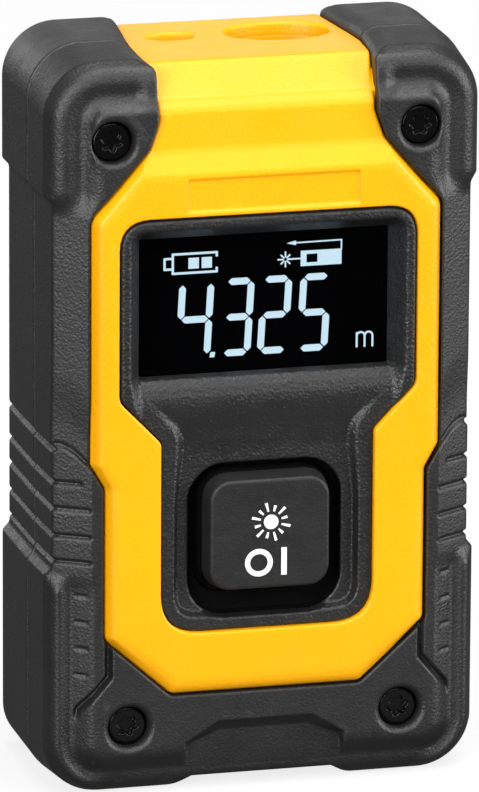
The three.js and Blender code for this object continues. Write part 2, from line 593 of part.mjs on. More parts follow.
// Receiver lens, plano-convex, oval like its port.
const lensProfile = [new THREE.Vector2(0, 0), new THREE.Vector2(6.1, 0)];
for (let i = 6; i >= 0; i--) {
  const r = (6.1 * i) / 6;
  lensProfile.push(new THREE.Vector2(r, 1.1 + 1.7 * (1 - (r / 6.1) ** 2)));
}
const lensG = new THREE.LatheGeometry(lensProfile, 32);
lensG.rotateX(Math.PI / 2);
lensG.scale(1, 0.72, 1);
lensG.translate(PORT_L.x, PORT_L.y, 76.3);
piece("receiver_lens", solid(lensG), 0x7fa8d8, 0.05);
piece("optical_filter", cylZ(PORT_L.x, PORT_L.y, 2.9, 60.9, 61.5, 24, 2.9, 0.72), 0x7a2030, 0.1);
piece("light_sensor", join(cylZ(PORT_L.x, PORT_L.y, 2.6, 57.3, 58.0, 20), cylZ(PORT_L.x, PORT_L.y, 2.1, 57.9, 60.0, 20)), 0xc0a860, 0.3, 0.9);
piece("sensor_board", box(-12.2, 13.4, -0.4, 10.2, 56.2, 57.2), 0x0f4a2c, 0.5);
piece(
  "laser_barrel",
  cut(cylZ(PORT_S.x, PORT_S.y, 3.0, 58.2, 78.6, 24), cylZ(PORT_S.x, PORT_S.y, 2.2, 57, 80, 20)),
  0xb08d3a,
  0.25,
  0.9,
);
piece("collimator_lens", cylZ(PORT_S.x, PORT_S.y, 2.1, 75.2, 76.8, 20), 0xbcd4ea, 0.05);
piece(
  "laser_diode",
  join(cylZ(PORT_S.x, PORT_S.y, 2.05, 58.6, 59.8, 20), cylZ(PORT_S.x, PORT_S.y, 1.6, 59.7, 61.9, 20), cylZ(PORT_S.x, PORT_S.y, 0.5, 57.3, 58.7, 10)),
  0xc9b36a,
  0.3,
  0.9,
);
piece("laser_window", cylZ(PORT_S.x, PORT_S.y, 2.6, 79.3, 79.9, 20), 0xcfe4ee, 0.05);

// ---------------------------------------------------------------- rating plate on the back
piece("rating_plate", prism(rr(12.1, 19.9, 60.1, 1.0, 2), 12.22, 12.4), 0x8d9093, 0.5);

export default root;
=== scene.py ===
import math
import time

import bpy
import numpy as np
from mathutils import Matrix, Vector


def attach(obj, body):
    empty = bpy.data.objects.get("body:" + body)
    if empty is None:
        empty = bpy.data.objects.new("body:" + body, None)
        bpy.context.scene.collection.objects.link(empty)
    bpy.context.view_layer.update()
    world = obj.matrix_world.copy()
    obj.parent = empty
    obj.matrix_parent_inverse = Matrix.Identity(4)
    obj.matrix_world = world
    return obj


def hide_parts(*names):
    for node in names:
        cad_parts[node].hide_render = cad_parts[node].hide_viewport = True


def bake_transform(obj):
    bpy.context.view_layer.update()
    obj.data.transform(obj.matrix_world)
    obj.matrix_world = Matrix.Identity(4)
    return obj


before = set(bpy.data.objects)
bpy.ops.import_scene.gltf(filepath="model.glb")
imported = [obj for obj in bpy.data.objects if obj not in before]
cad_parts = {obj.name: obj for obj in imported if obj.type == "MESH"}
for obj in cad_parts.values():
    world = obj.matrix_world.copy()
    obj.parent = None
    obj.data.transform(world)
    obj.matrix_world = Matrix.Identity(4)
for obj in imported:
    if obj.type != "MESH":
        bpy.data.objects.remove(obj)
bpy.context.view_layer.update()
COARSE = 1.0
F32 = np.float32

# Sizes in millimetres, the same as in the CAD source.
LENGTH, HALF_W, HALF_WAIST = 85.0, 24.9, 24.1
Y_BACK, Y_SPLIT = 12.8, -1.0
CORNER_R = 6.5
Z_PLATE = 84.2
GROOVE_Z = [40.85, 37.0, 33.95, 30.8, 27.8]
SHELL = dict(hw=22.2, z0=2.4, z1=82.4, r=5.0, wall=1.5)
SCREWS = [(-17.78, 76.35), (17.78, 76.35), (-15.85, 8.18), (15.85, 8.18)]
PORTS = [(-7.2, 5.5, 2.7, 1.8, 0.74), (5.24, 5.5, 6.1, 4.2, 0.86)]
WINDOW = dict(hw=14.3, z0=48.75, z1=64.55)
KEY = dict(hw=6.95, z0=24.1, z1=36.95, r=2.4)
POCKET = dict(hw=6.2, y0=0.8, y1=7.2, z1=7.0)


# ------------------------------------------------------------------ fields
class Grid:
    def __init__(self, lo, hi, h):
        h = h * COARSE
        self.lo, self.h = np.array(lo, float), h
        n = [int(math.ceil((b - a) / h)) + 1 for a, b in zip(lo, hi)]
        ax = [(lo[i] + h * np.arange(n[i])).astype(F32) for i in range(3)]
        self.X, self.Y, self.Z = ax[0][:, None, None], ax[1][None, :, None], ax[2][None, None, :]
        self.n = n


def ss(a, b, x):
    t = np.clip((x - a) / (b - a), 0, 1)
    return t * t * (3 - 2 * t)


def both(a, b, r=0.0):
    """Inside both, the edge between them rounded to radius r."""
    if np.isscalar(r) and r <= 0:
        return np.maximum(a, b)
    return np.minimum(np.maximum(a, b), -r) + np.sqrt(np.maximum(a + r, 0) ** 2 + np.maximum(b + r, 0) ** 2)


def either(a, b, r=0.0):
    return -both(-a, -b, r)


def minus(a, b, r=0.0):
    return both(a, -b, r)


def rrect(U, V, hw, z0, z1, r, cx=0.0):
    qx = np.abs(U - cx) - (hw - r)
    qz = np.abs(V - (z0 + z1) / 2) - ((z1 - z0) / 2 - r)
    return np.sqrt(np.maximum(qx, 0) ** 2 + np.maximum(qz, 0) ** 2) + np.minimum(np.maximum(qx, qz), 0) - r


def slab(v, a, b):
    return np.maximum(a - v, v - b)


def disc(U, V, cx, cz, r):
    return np.sqrt((U - cx) ** 2 + (V - cz) ** 2) - r


def sd_poly(U, V, pts):
    shape = np.broadcast(U, V).shape
    U, V = np.broadcast_to(U, shape), np.broadcast_to(V, shape)
    d2 = np.full(shape, 1e9, F32)
    inside = np.zeros(shape, bool)
    n = len(pts)
    for i in range(n):
        ax, ay = pts[i]
        bx, by = pts[(i + 1) % n]
        ex, ey = bx - ax, by - ay
        ll = ex * ex + ey * ey
        if ll < 1e-9:
            continue
        t = np.clip(((U - ax) * ex + (V - ay) * ey) / ll, 0, 1)
        d2 = np.minimum(d2, (U - ax - t * ex) ** 2 + (V - ay - t * ey) ** 2)
        if abs(ey) > 1e-9:
            inside ^= ((ay > V) != (by > V)) & (U < ex * (V - ay) / ey + ax)
    return (np.where(inside, -1, 1) * np.sqrt(d2)).astype(F32)


def filleted(points, n=7):
    out = []
    k = len(points)
    for i in range(k):
        x, z, r = points[i]
        if not r:
            out.append((x, z))
            continue
        p = Vector((x, z))
        a = (Vector(points[i - 1][:2]) - p).normalized()
        b = (Vector(points[(i + 1) % k][:2]) - p).normalized()
        half = math.acos(max(-1, min(1, a.dot(b)))) / 2
        t = r / math.tan(half)
        p0, p1 = p + a * t, p + b * t
        for j in range(n + 1):
            s = j / n
            q = p0 * (1 - s) ** 2 + p * 2 * s * (1 - s) + p1 * s * s
            out.append((q.x, q.y))
    return out


def mirrored(right):
    return list(right) + [(-x, z, r) for x, z, r in reversed(right)]


def curve(points, soft=0.0):
    """A smooth function through [(x, y), ...]."""
    xs = [p[0] for p in points]
    fine = np.arange(xs[0] - 3, xs[-1] + 3, 0.02)
    ys = np.interp(fine, xs, [p[1] for p in points])
    if soft:
        k = max(3, int(soft / 0.02) | 1)
        kernel = np.hanning(k + 2)[1:-1]
        kernel /= kernel.sum()
        pad = k // 2
        ys = np.convolve(np.pad(ys, pad, mode="edge"), kernel, "valid")
    return lambda v: np.interp(v, fine, ys).astype(F32)


def front_of(g, a):
    """Signed distance, roughly, to a front face that stands a(X, Z) in front of Y = 0."""
    gx, gz = np.gradient(a[:, 0, :], g.h)
    s = np.sqrt(1 + gx * gx + gz * gz)[:, None, :].astype(F32)
    return (-g.Y - a) / s


# ------------------------------------------------------------------ meshes from fields
def sample(F, lo, h, P):
    q = (P - lo) / h
    n = np.array(F.shape)
    i = np.clip(np.floor(q).astype(np.int64), 0, n - 2)
    t = (q - i).astype(F32)
    base = (i[:, 0] * n[1] + i[:, 1]) * n[2] + i[:, 2]
    flat = F.ravel()
    sx, sy = n[1] * n[2], n[2]
    out = 0
    for a in (0, 1):
        wa = t[:, 0] if a else 1 - t[:, 0]
        for b in (0, 1):
            wb = wa * (t[:, 1] if b else 1 - t[:, 1])
            for c in (0, 1):
                w = wb * (t[:, 2] if c else 1 - t[:, 2])
                out = out + w * flat[base + a * sx + b * sy + c]
    return out


def gradient(F, lo, h, P, e=0.6):
    out = np.empty((len(P), 3))
    for ax in range(3):
        d = np.zeros(3)
        d[ax] = h * e
        out[:, ax] = sample(F, lo, h, P + d) - sample(F, lo, h, P - d)
    return out / (2 * h * e)


def nets(F, g):
    """Closed mesh round the region where F < 0: dual vertices near the surface, quads between them."""
    F = np.ascontiguousarray(np.broadcast_to(F, g.n), dtype=F32).copy()
    for ax in range(3):
        for end in (0, -1):
            s = [slice(None)] * 3
            s[ax] = end
            F[tuple(s)] = np.maximum(F[tuple(s)], 0.01)
    S = F < 0
    c = S.astype(np.uint8)
    c = c[:-1] + c[1:]
    c = c[:, :-1] + c[:, 1:]
    c = c[:, :, :-1] + c[:, :, 1:]
    ids = np.flatnonzero(((c > 0) & (c < 8)).ravel())
    i, j, k = np.unravel_index(ids, c.shape)
    vid = np.full(c.size, -1, np.int32)
    vid[ids] = np.arange(len(ids), dtype=np.int32)
    vid = vid.reshape(c.shape)
    P = np.zeros((len(ids), 3))
    C = np.zeros(len(ids))
    V = {(a, b, d): F[i + a, j + b, k + d] for a in (0, 1) for b in (0, 1) for d in (0, 1)}
    for ax in range(3):
        for u in (0, 1):
            for v in (0, 1):
                p0 = [u, v]
                p0.insert(ax, 0)
                p1 = list(p0)
                p1[ax] = 1
                v0, v1 = V[tuple(p0)], V[tuple(p1)]
                m = (v0 < 0) != (v1 < 0)
                t = v0[m] / (v0[m] - v1[m])
                for q in range(3):
                    P[m, q] += t if q == ax else p0[q]
                C[m] += 1
    P = (P / C[:, None] + np.stack([i, j, k], 1)) * g.h + g.lo
    cell = P.copy()
    for _ in range(2):
        G = gradient(F, g.lo, g.h, P)
        f = sample(F, g.lo, g.h, P)
        step = (f / np.maximum((G * G).sum(1), 0.05))[:, None] * G
        P = P - np.clip(step, -0.35 * g.h, 0.35 * g.h)
        P = np.clip(P, cell - 0.5 * g.h, cell + 0.5 * g.h)
    quads = []
    a, b = S[:-1, 1:-1, 1:-1], S[1:, 1:-1, 1:-1]
    for flip, m in ((False, a & ~b), (True, ~a & b)):
        x, y, z = np.nonzero(m)
        q = np.stack([vid[x, y, z], vid[x, y + 1, z], vid[x, y + 1, z + 1], vid[x, y, z + 1]], 1)
        quads.append(q[:, ::-1] if flip else q)
    a, b = S[1:-1, :-1, 1:-1], S[1:-1, 1:, 1:-1]
    for flip, m in ((True, a & ~b), (False, ~a & b)):
        x, y, z = np.nonzero(m)
        q = np.stack([vid[x, y, z], vid[x + 1, y, z], vid[x + 1, y, z + 1], vid[x, y, z + 1]], 1)
        quads.append(q[:, ::-1] if flip else q)
    a, b = S[1:-1, 1:-1, :-1], S[1:-1, 1:-1, 1:]
    for flip, m in ((False, a & ~b), (True, ~a & b)):
        x, y, z = np.nonzero(m)
        q = np.stack([vid[x, y, z], vid[x + 1, y, z], vid[x + 1, y + 1, z], vid[x, y + 1, z]], 1)
        quads.append(q[:, ::-1] if flip else q)
    return F, P, np.concatenate(quads)


def quad_mesh(name, P, Q):
    me = bpy.data.meshes.new(name)
    me.vertices.add(len(P))
    me.vertices.foreach_set("co", (P * 0.001).astype(F32).ravel())
    me.loops.add(Q.size)
    me.loops.foreach_set("vertex_index", Q.astype(np.int32).ravel())
    me.polygons.add(len(Q))
    me.polygons.foreach_set("loop_start", (np.arange(len(Q)) * Q.shape[1]).astype(np.int32))
    me.update(calc_edges=True)
    return me


def add(name, me, material, body, replaces=()):
    o = bpy.data.objects.new(name, me)
    bpy.context.scene.collection.objects.link(o)
    me.materials.clear()
    me.materials.append(material)
    if body:
        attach(o, body)
    if replaces:
        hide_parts(*replaces)
    return o


def thin(me, limit):
    """Fewer faces where the surface is flat."""
    if len(me.polygons) <= limit:
        return me
    o = bpy.data.objects.new("tmp", me)
    bpy.context.scene.collection.objects.link(o)
    d = o.modifiers.new("d", "DECIMATE")
    d.ratio = limit / (2 * len(me.polygons))
    dg = bpy.context.evaluated_depsgraph_get()
    out = bpy.data.meshes.new_from_object(o.evaluated_get(dg))
    bpy.data.objects.remove(o)
    return out


def sculpt(name, F, g, material, body, replaces=(), limit=None, plain=False):
    F, P, Q = nets(F, g)
    me = quad_mesh(name, P, Q)
    if limit:
        me = thin(me, limit)
    me.name = name
    me.polygons.foreach_set("use_smooth", np.ones(len(me.polygons), bool))
    if not plain:
        co = np.empty(len(me.vertices) * 3, F32)
        me.vertices.foreach_get("co", co)
        N = gradient(F, g.lo, g.h, co.reshape(-1, 3).astype(float) * 1000.0)
        N /= np.maximum(np.linalg.norm(N, axis=1), 1e-6)[:, None]
        me.normals_split_custom_set_from_vertices(N.tolist())
    return add(name, me, material, body, replaces)


# ------------------------------------------------------------------ materials
def material(
    name,
    color,
    rough=0.5,
    spec=0.5,
    metal=0.0,
    grain=None,
    bump=0.02,
    vary=0.08,
    vary_scale=120,
    rough_vary=0.06,
    coat=0.0,
    wear=0.0,
    wear_color=None,
    pits=0.0,
    transmission=0.0,
    ior=1.5,
    emission=None,
):
    """A moulded, painted or metal surface. grain is the size of its texture and bump its depth, both in mm."""
    m = bpy.data.materials.new(name)
    m.use_nodes = True
    nt = m.node_tree
    nt.nodes.clear()
    new = nt.nodes.new
    link = nt.links.new
    out = new("ShaderNodeOutputMaterial")
    bs = new("ShaderNodeBsdfPrincipled")
    link(bs.outputs[0], out.inputs[0])
    tc = new("ShaderNodeTexCoord")
    obj = tc.outputs["Object"]

    def noise(scale, detail=2.0, roughness=0.5, seed=0.0):
        n = new("ShaderNodeTexNoise")
        n.inputs["Scale"].default_value = scale
        n.inputs["Detail"].default_value = detail
        n.inputs["Roughness"].default_value = roughness
        mp = new("ShaderNodeMapping")
        mp.inputs["Location"].default_value = (seed, seed * 0.7, -seed)
        link(obj, mp.inputs[0])
        link(mp.outputs[0], n.inputs["Vector"])
        return n.outputs["Fac"]

    def remap(value, lo, hi, a=0.3, b=0.7):
        r = new("ShaderNodeMapRange")
        r.inputs["From Min"].default_value = a
        r.inputs["From Max"].default_value = b
        r.inputs["To Min"].default_value = lo
        r.inputs["To Max"].default_value = hi
        link(value, r.inputs["Value"])
        return r.outputs[0]

    def mix(fac, a, b):
        x = new("ShaderNodeMix")
        x.data_type = "RGBA"
        if isinstance(fac, float):
            x.inputs["Factor"].default_value = fac
        else:
            link(fac, x.inputs["Factor"])
        for sock, v in ((x.inputs[6], a), (x.inputs[7], b)):
            if isinstance(v, tuple):
                sock.default_value = v
            else:
                link(v, sock)
        return x.outputs[2]

    def tone(f):
        return tuple(min(1.0, c * f) for c in color) + (1.0,)

    broad = noise(vary_scale, 3.0, 0.6, 3.1)
    col = mix(remap(broad, 0.0, 1.0), tone(1 - vary), tone(1 + vary))
    if wear:
        geo = new("ShaderNodeNewGeometry")
        edge = remap(geo.outputs["Pointiness"], 0.0, wear, 0.515, 0.56)
        patch = remap(noise(700, 3.0, 0.6, 9.2), 0.2, 1.0, 0.35, 0.65)
        mul = new("ShaderNodeMath")
        mul.operation = "MULTIPLY"
        link(edge, mul.inputs[0])
        link(patch, mul.inputs[1])
        col = mix(mul.outputs[0], col, (wear_color or tone(1.8)[:3]) + (1.0,))
    link(col, bs.inputs["Base Color"])
    rv = remap(noise(vary_scale * 4, 3.0, 0.6, 5.5), rough - rough_vary, rough + rough_vary)
    link(rv, bs.inputs["Roughness"])
    bs.inputs["Metallic"].default_value = metal
    bs.inputs["Specular IOR Level"].default_value = spec
    bs.inputs["IOR"].default_value = ior
    bs.inputs["Coat Weight"].default_value = coat
    bs.inputs["Transmission Weight"].default_value = transmission
    if emission:
        bs.inputs["Emission Color"].default_value = emission[0] + (1.0,)
        bs.inputs["Emission Strength"].default_value = emission[1]
    if grain:
        s = 1000.0 / grain
        fine = noise(s, 2.0, 0.55, 1.7)
        height = fine
        if pits:
            v = new("ShaderNodeTexVoronoi")
            v.feature = "SMOOTH_F1"
            v.inputs["Scale"].default_value = s * 0.9
            v.inputs["Smoothness"].default_value = 0.6
            link(obj, v.inputs["Vector"])
            mm = new("ShaderNodeMath")
            mm.operation = "MULTIPLY_ADD"
            link(v.outputs["Distance"], mm.inputs[0])
            mm.inputs[1].default_value = pits
            link(fine, mm.inputs[2])
            height = mm.outputs[0]
        bp = new("ShaderNodeBump")
        bp.inputs["Strength"].default_value = 1.0
        bp.inputs["Distance"].default_value = bump * 0.001
        link(height, bp.inputs["Height"])
        link(bp.outputs[0], bs.inputs["Normal"])
    return m


def glass(name, tint, gloss_rough=0.03):
    """Clear window: passes light straight on, with a thin gloss on it."""
    m = bpy.data.materials.new(name)
    m.use_nodes = True
    nt = m.node_tree
    nt.nodes.clear()
    new, link = nt.nodes.new, nt.links.new
    out = new("ShaderNodeOutputMaterial")
    tr = new("ShaderNodeBsdfTransparent")
    tr.inputs[0].default_value = tint + (1.0,)
    gl = new("ShaderNodeBsdfGlossy")
    gl.inputs["Color"].default_value = (0.5, 0.52, 0.55, 1)
    tc = new("ShaderNodeTexCoord")
    n = new("ShaderNodeTexNoise")
    n.inputs["Scale"].default_value = 260
    n.inputs["Detail"].default_value = 4
    link(tc.outputs["Object"], n.inputs["Vector"])
    r = new("ShaderNodeMapRange")
    r.inputs["To Min"].default_value = gloss_rough
    r.inputs["To Max"].default_value = gloss_rough * 2.2
    link(n.outputs["Fac"], r.inputs["Value"])
    link(r.outputs[0], gl.inputs["Roughness"])
    fr = new("ShaderNodeFresnel")
    fr.inputs[0].default_value = 1.33
    mul = new("ShaderNodeMath")
    mul.operation = "MULTIPLY"
    link(fr.outputs[0], mul.inputs[0])
    mul.inputs[1].default_value = 0.12
    mx = new("ShaderNodeMixShader")
    link(mul.outputs[0], mx.inputs[0])
    link(tr.outputs[0], mx.inputs[1])
    link(gl.outputs[0], mx.inputs[2])
    link(mx.outputs[0], out.inputs[0])
    return m


YELLOW = material("yellow_plastic", (0.85, 0.375, 0.002), 0.38, 0.32, grain=0.38, bump=0.04, vary=0.035,
                  vary_scale=60, rough_vary=0.05, pits=0.4,
                  wear=0.16, wear_color=(0.92, 0.5, 0.05))
RUBBER = material("rubber", (0.0076, 0.0076, 0.0078), 0.48, 0.58, grain=0.28, bump=0.048, vary=0.14,
                  vary_scale=90, rough_vary=0.05, pits=0.7,
                  wear=0.45, wear_color=(0.03, 0.03, 0.031))
DARK = material("dark_plastic", (0.0092, 0.0092, 0.0095), 0.42, 0.52, grain=0.32, bump=0.1, vary=0.15, vary_scale=90,
                pits=0.5,
                wear=0.35, wear_color=(0.028, 0.028, 0.029))
HOUSING = material("dark_housing", (0.02, 0.02, 0.022), 0.5, 0.3, grain=0.45, bump=0.03, vary=0.15, pits=0.5)
KEYMAT = material("key_rubber", (0.0115, 0.0115, 0.0118), 0.48, 0.4, grain=0.26, bump=0.045, vary=0.1,
                  vary_scale=150, pits=0.5)
PRINT = material("white_print", (0.78, 0.78, 0.78), 0.55, 0.3, grain=0.15, bump=0.006, vary=0.04, vary_scale=400)
SCREWMAT = material("black_screw", (0.0008, 0.0008, 0.0009), 0.22, 0.32, grain=0.16, bump=0.006, vary=0.25,
                    vary_scale=500, rough_vary=0.08)
PLATED = material("plated_screw", (0.5, 0.5, 0.52), 0.3, 0.5, metal=1.0, grain=0.2, bump=0.005, vary=0.1)
# Near-black matt material for faces deep in the key's well: painted shade, so the gap reads dark.
SHADE_BLACK = material("painted_shade_black", (0.0022, 0.0022, 0.0023), 0.85, 0.04, grain=0.3, bump=0.03, vary=0.2)
WINDOW_SEAL = material("window_black", (0.0009, 0.0009, 0.001), 0.8, 0.0, grain=0.3, bump=0.01, vary=0.2)
SEAL = material("seal_rubber", (0.012, 0.012, 0.012), 0.6, 0.3, grain=0.25, bump=0.02, vary=0.15)
CELL = material("display_cell", (0.0006, 0.0006, 0.0008), 0.5, 0.0, grain=0.3, bump=0.001, vary=0.2)
WHITE = material("white_plastic", (0.75, 0.76, 0.78), 0.45, 0.5, grain=0.3, bump=0.006, vary=0.04)
BOARD = material("circuit_board", (0.008, 0.075, 0.03), 0.35, 0.5, grain=0.5, bump=0.01, vary=0.25, vary_scale=900)
CHIP = material("chip_black", (0.012, 0.012, 0.013), 0.45, 0.4, grain=0.12, bump=0.008, vary=0.15)
CREAM = material("cream_plastic", (0.72, 0.66, 0.5), 0.45, 0.5, grain=0.25, bump=0.006, vary=0.05)
FLEX = material("flex_film", (0.45, 0.16, 0.02), 0.25, 0.5, grain=0.5, bump=0.004, vary=0.15, vary_scale=800)
TIN = material("tin_plate", (0.62, 0.63, 0.65), 0.28, 0.5, metal=1.0, grain=0.35, bump=0.006, vary=0.08)
WRAP = material("cell_wrap", (0.28, 0.3, 0.33), 0.35, 0.5, metal=0.4, grain=0.6, bump=0.012, vary=0.1)
RED = material("red_wire", (0.45, 0.012, 0.01), 0.4, 0.5, grain=0.2, bump=0.006, vary=0.1)
BLACKW = material("black_wire", (0.012, 0.012, 0.012), 0.4, 0.5, grain=0.2, bump=0.006, vary=0.1)
OPTIC = material("optical_black", (0.006, 0.006, 0.007), 0.55, 0.3, grain=0.25, bump=0.015, vary=0.15)
LENS = material("optical_glass", (0.04, 0.05, 0.08), 0.06, 0.5, vary=0.1, rough_vary=0.02, grain=1.5, bump=0.001,
                coat=0.6)
FILTER = material("filter_glass", (0.12, 0.005, 0.012), 0.08, 0.5, vary=0.1, rough_vary=0.03, grain=1.5, bump=0.001)
BRASS = material("brass", (0.55, 0.36, 0.12), 0.28, 0.5, metal=1.0, grain=0.2, bump=0.005, vary=0.1)
GOLD = material("gold_plate", (0.72, 0.5, 0.18), 0.22, 0.5, metal=1.0, grain=0.2, bump=0.004, vary=0.08)
PLATE = material("rating_plate", (0.30, 0.31, 0.32), 0.42, 0.4, metal=0.25, grain=0.22, bump=0.006, vary=0.06)
GLASS = glass("display_glass", (0.93, 0.95, 0.97))
GLOW = material("display_glow", (0.01, 0.012, 0.013), 0.5, 0.1, grain=0.3, bump=0.002, vary=0.05, vary_scale=900,
                emission=((0.68, 0.87, 0.955), 1.0))


# ------------------------------------------------------------------ outlines
FRAME_PTS = [
    (11.0, 11.8, 1.2), (18.65, 18.7, 1.2), (18.65, 36.4, 1.0), (20.2, 39.2, 1.0), (20.2, 67.6, 2.0),
    (13.5, 75.3, 1.5), (12.42, 78.4, 1.2), (12.42, 92.0, 0),
]
PANEL_PTS = [(12.25, 19.2, 4.6), (12.25, 41.6, 1.2), (17.1, 46.7, 1.6), (17.1, 67.4, 3.4)]
FRAME_OUT = filleted(mirrored(FRAME_PTS))
PANEL_OUT = filleted(mirrored(PANEL_PTS))


def neck_half(Y):
    return np.interp(Y, [-9.0, -6.2, -1.0, 3.0, 11.0, 13.0], [12.4, 12.85, 13.2, 12.85, 11.95, 11.85]).astype(F32)


def waist(Z):
    low = ss(25.3, 27.0, Z)
    high = 1 - ss(68.8, 70.6, Z)
    return HALF_W + 0.4 - (HALF_W + 0.4 - HALF_WAIST) * np.minimum(low, high)


def groove_depth(dz, depth, down=0.42, up=0.34):
    """V of a grip groove: dz is the height over its centre."""
    return depth * np.clip(1 - np.where(dz < 0, -dz / down, dz / up), 0, 1)


def growth(Y):
    """How far the side walls lean out at a depth."""
    return np.interp(Y, [-9.4, -8.6, -1.0, 10.6], [0.0, 0.16, 0.46, 0.58]).astype(F32)


def rise(Y):
    """The same for the top of the bumpers."""
    return np.interp(Y, [-8.6, -1.0, 10.6], [0.0, 0.68, 0.58]).astype(F32)


def side_grooves(Z):
    out = 0
    for n, z in enumerate(GROOVE_Z):
        out = np.maximum(out, groove_depth(Z - z, 0.62 if n == 0 else 0.52))
    return out


def outer(g):
    """Outline of the rubber, seen from the front, with the draft, the waist and the grip grooves."""
    b = growth(g.Y)
    c = rise(g.Y)
    r = np.where(g.Z < 40, CORNER_R - 2.0 * c, CORNER_R - 0.5 * c).astype(F32)
    top = LENGTH + c
    qx = np.abs(g.X) - (HALF_W + b - r)
    qz = np.abs(g.Z - top / 2) - (top / 2 - r)
    base = np.sqrt(np.maximum(qx, 0) ** 2 + np.maximum(qz, 0) ** 2) + np.minimum(np.maximum(qx, qz), 0) - r
    side = np.abs(g.X) - b - (waist(g.Z) - side_grooves(g.Z))
    return np.maximum(base, side).astype(F32)


def base_relief(g):
    zr = np.interp(np.abs(g.X), [8.2, 10.85], [1.45, -0.2]).astype(F32)
    return (g.Z - zr) * 0.85


def shell_outer(g, gap):
    d = rrect(g.X, g.Z, SHELL["hw"], SHELL["z0"], SHELL["z1"], SHELL["r"]) - gap
    bevel = (d + 1.8) * 0.74 + (-7.4 - g.Y) * 0.67 - 1.8 * 0.74
    return np.maximum(np.maximum(d, -9.4 - gap - g.Y), bevel).astype(F32)


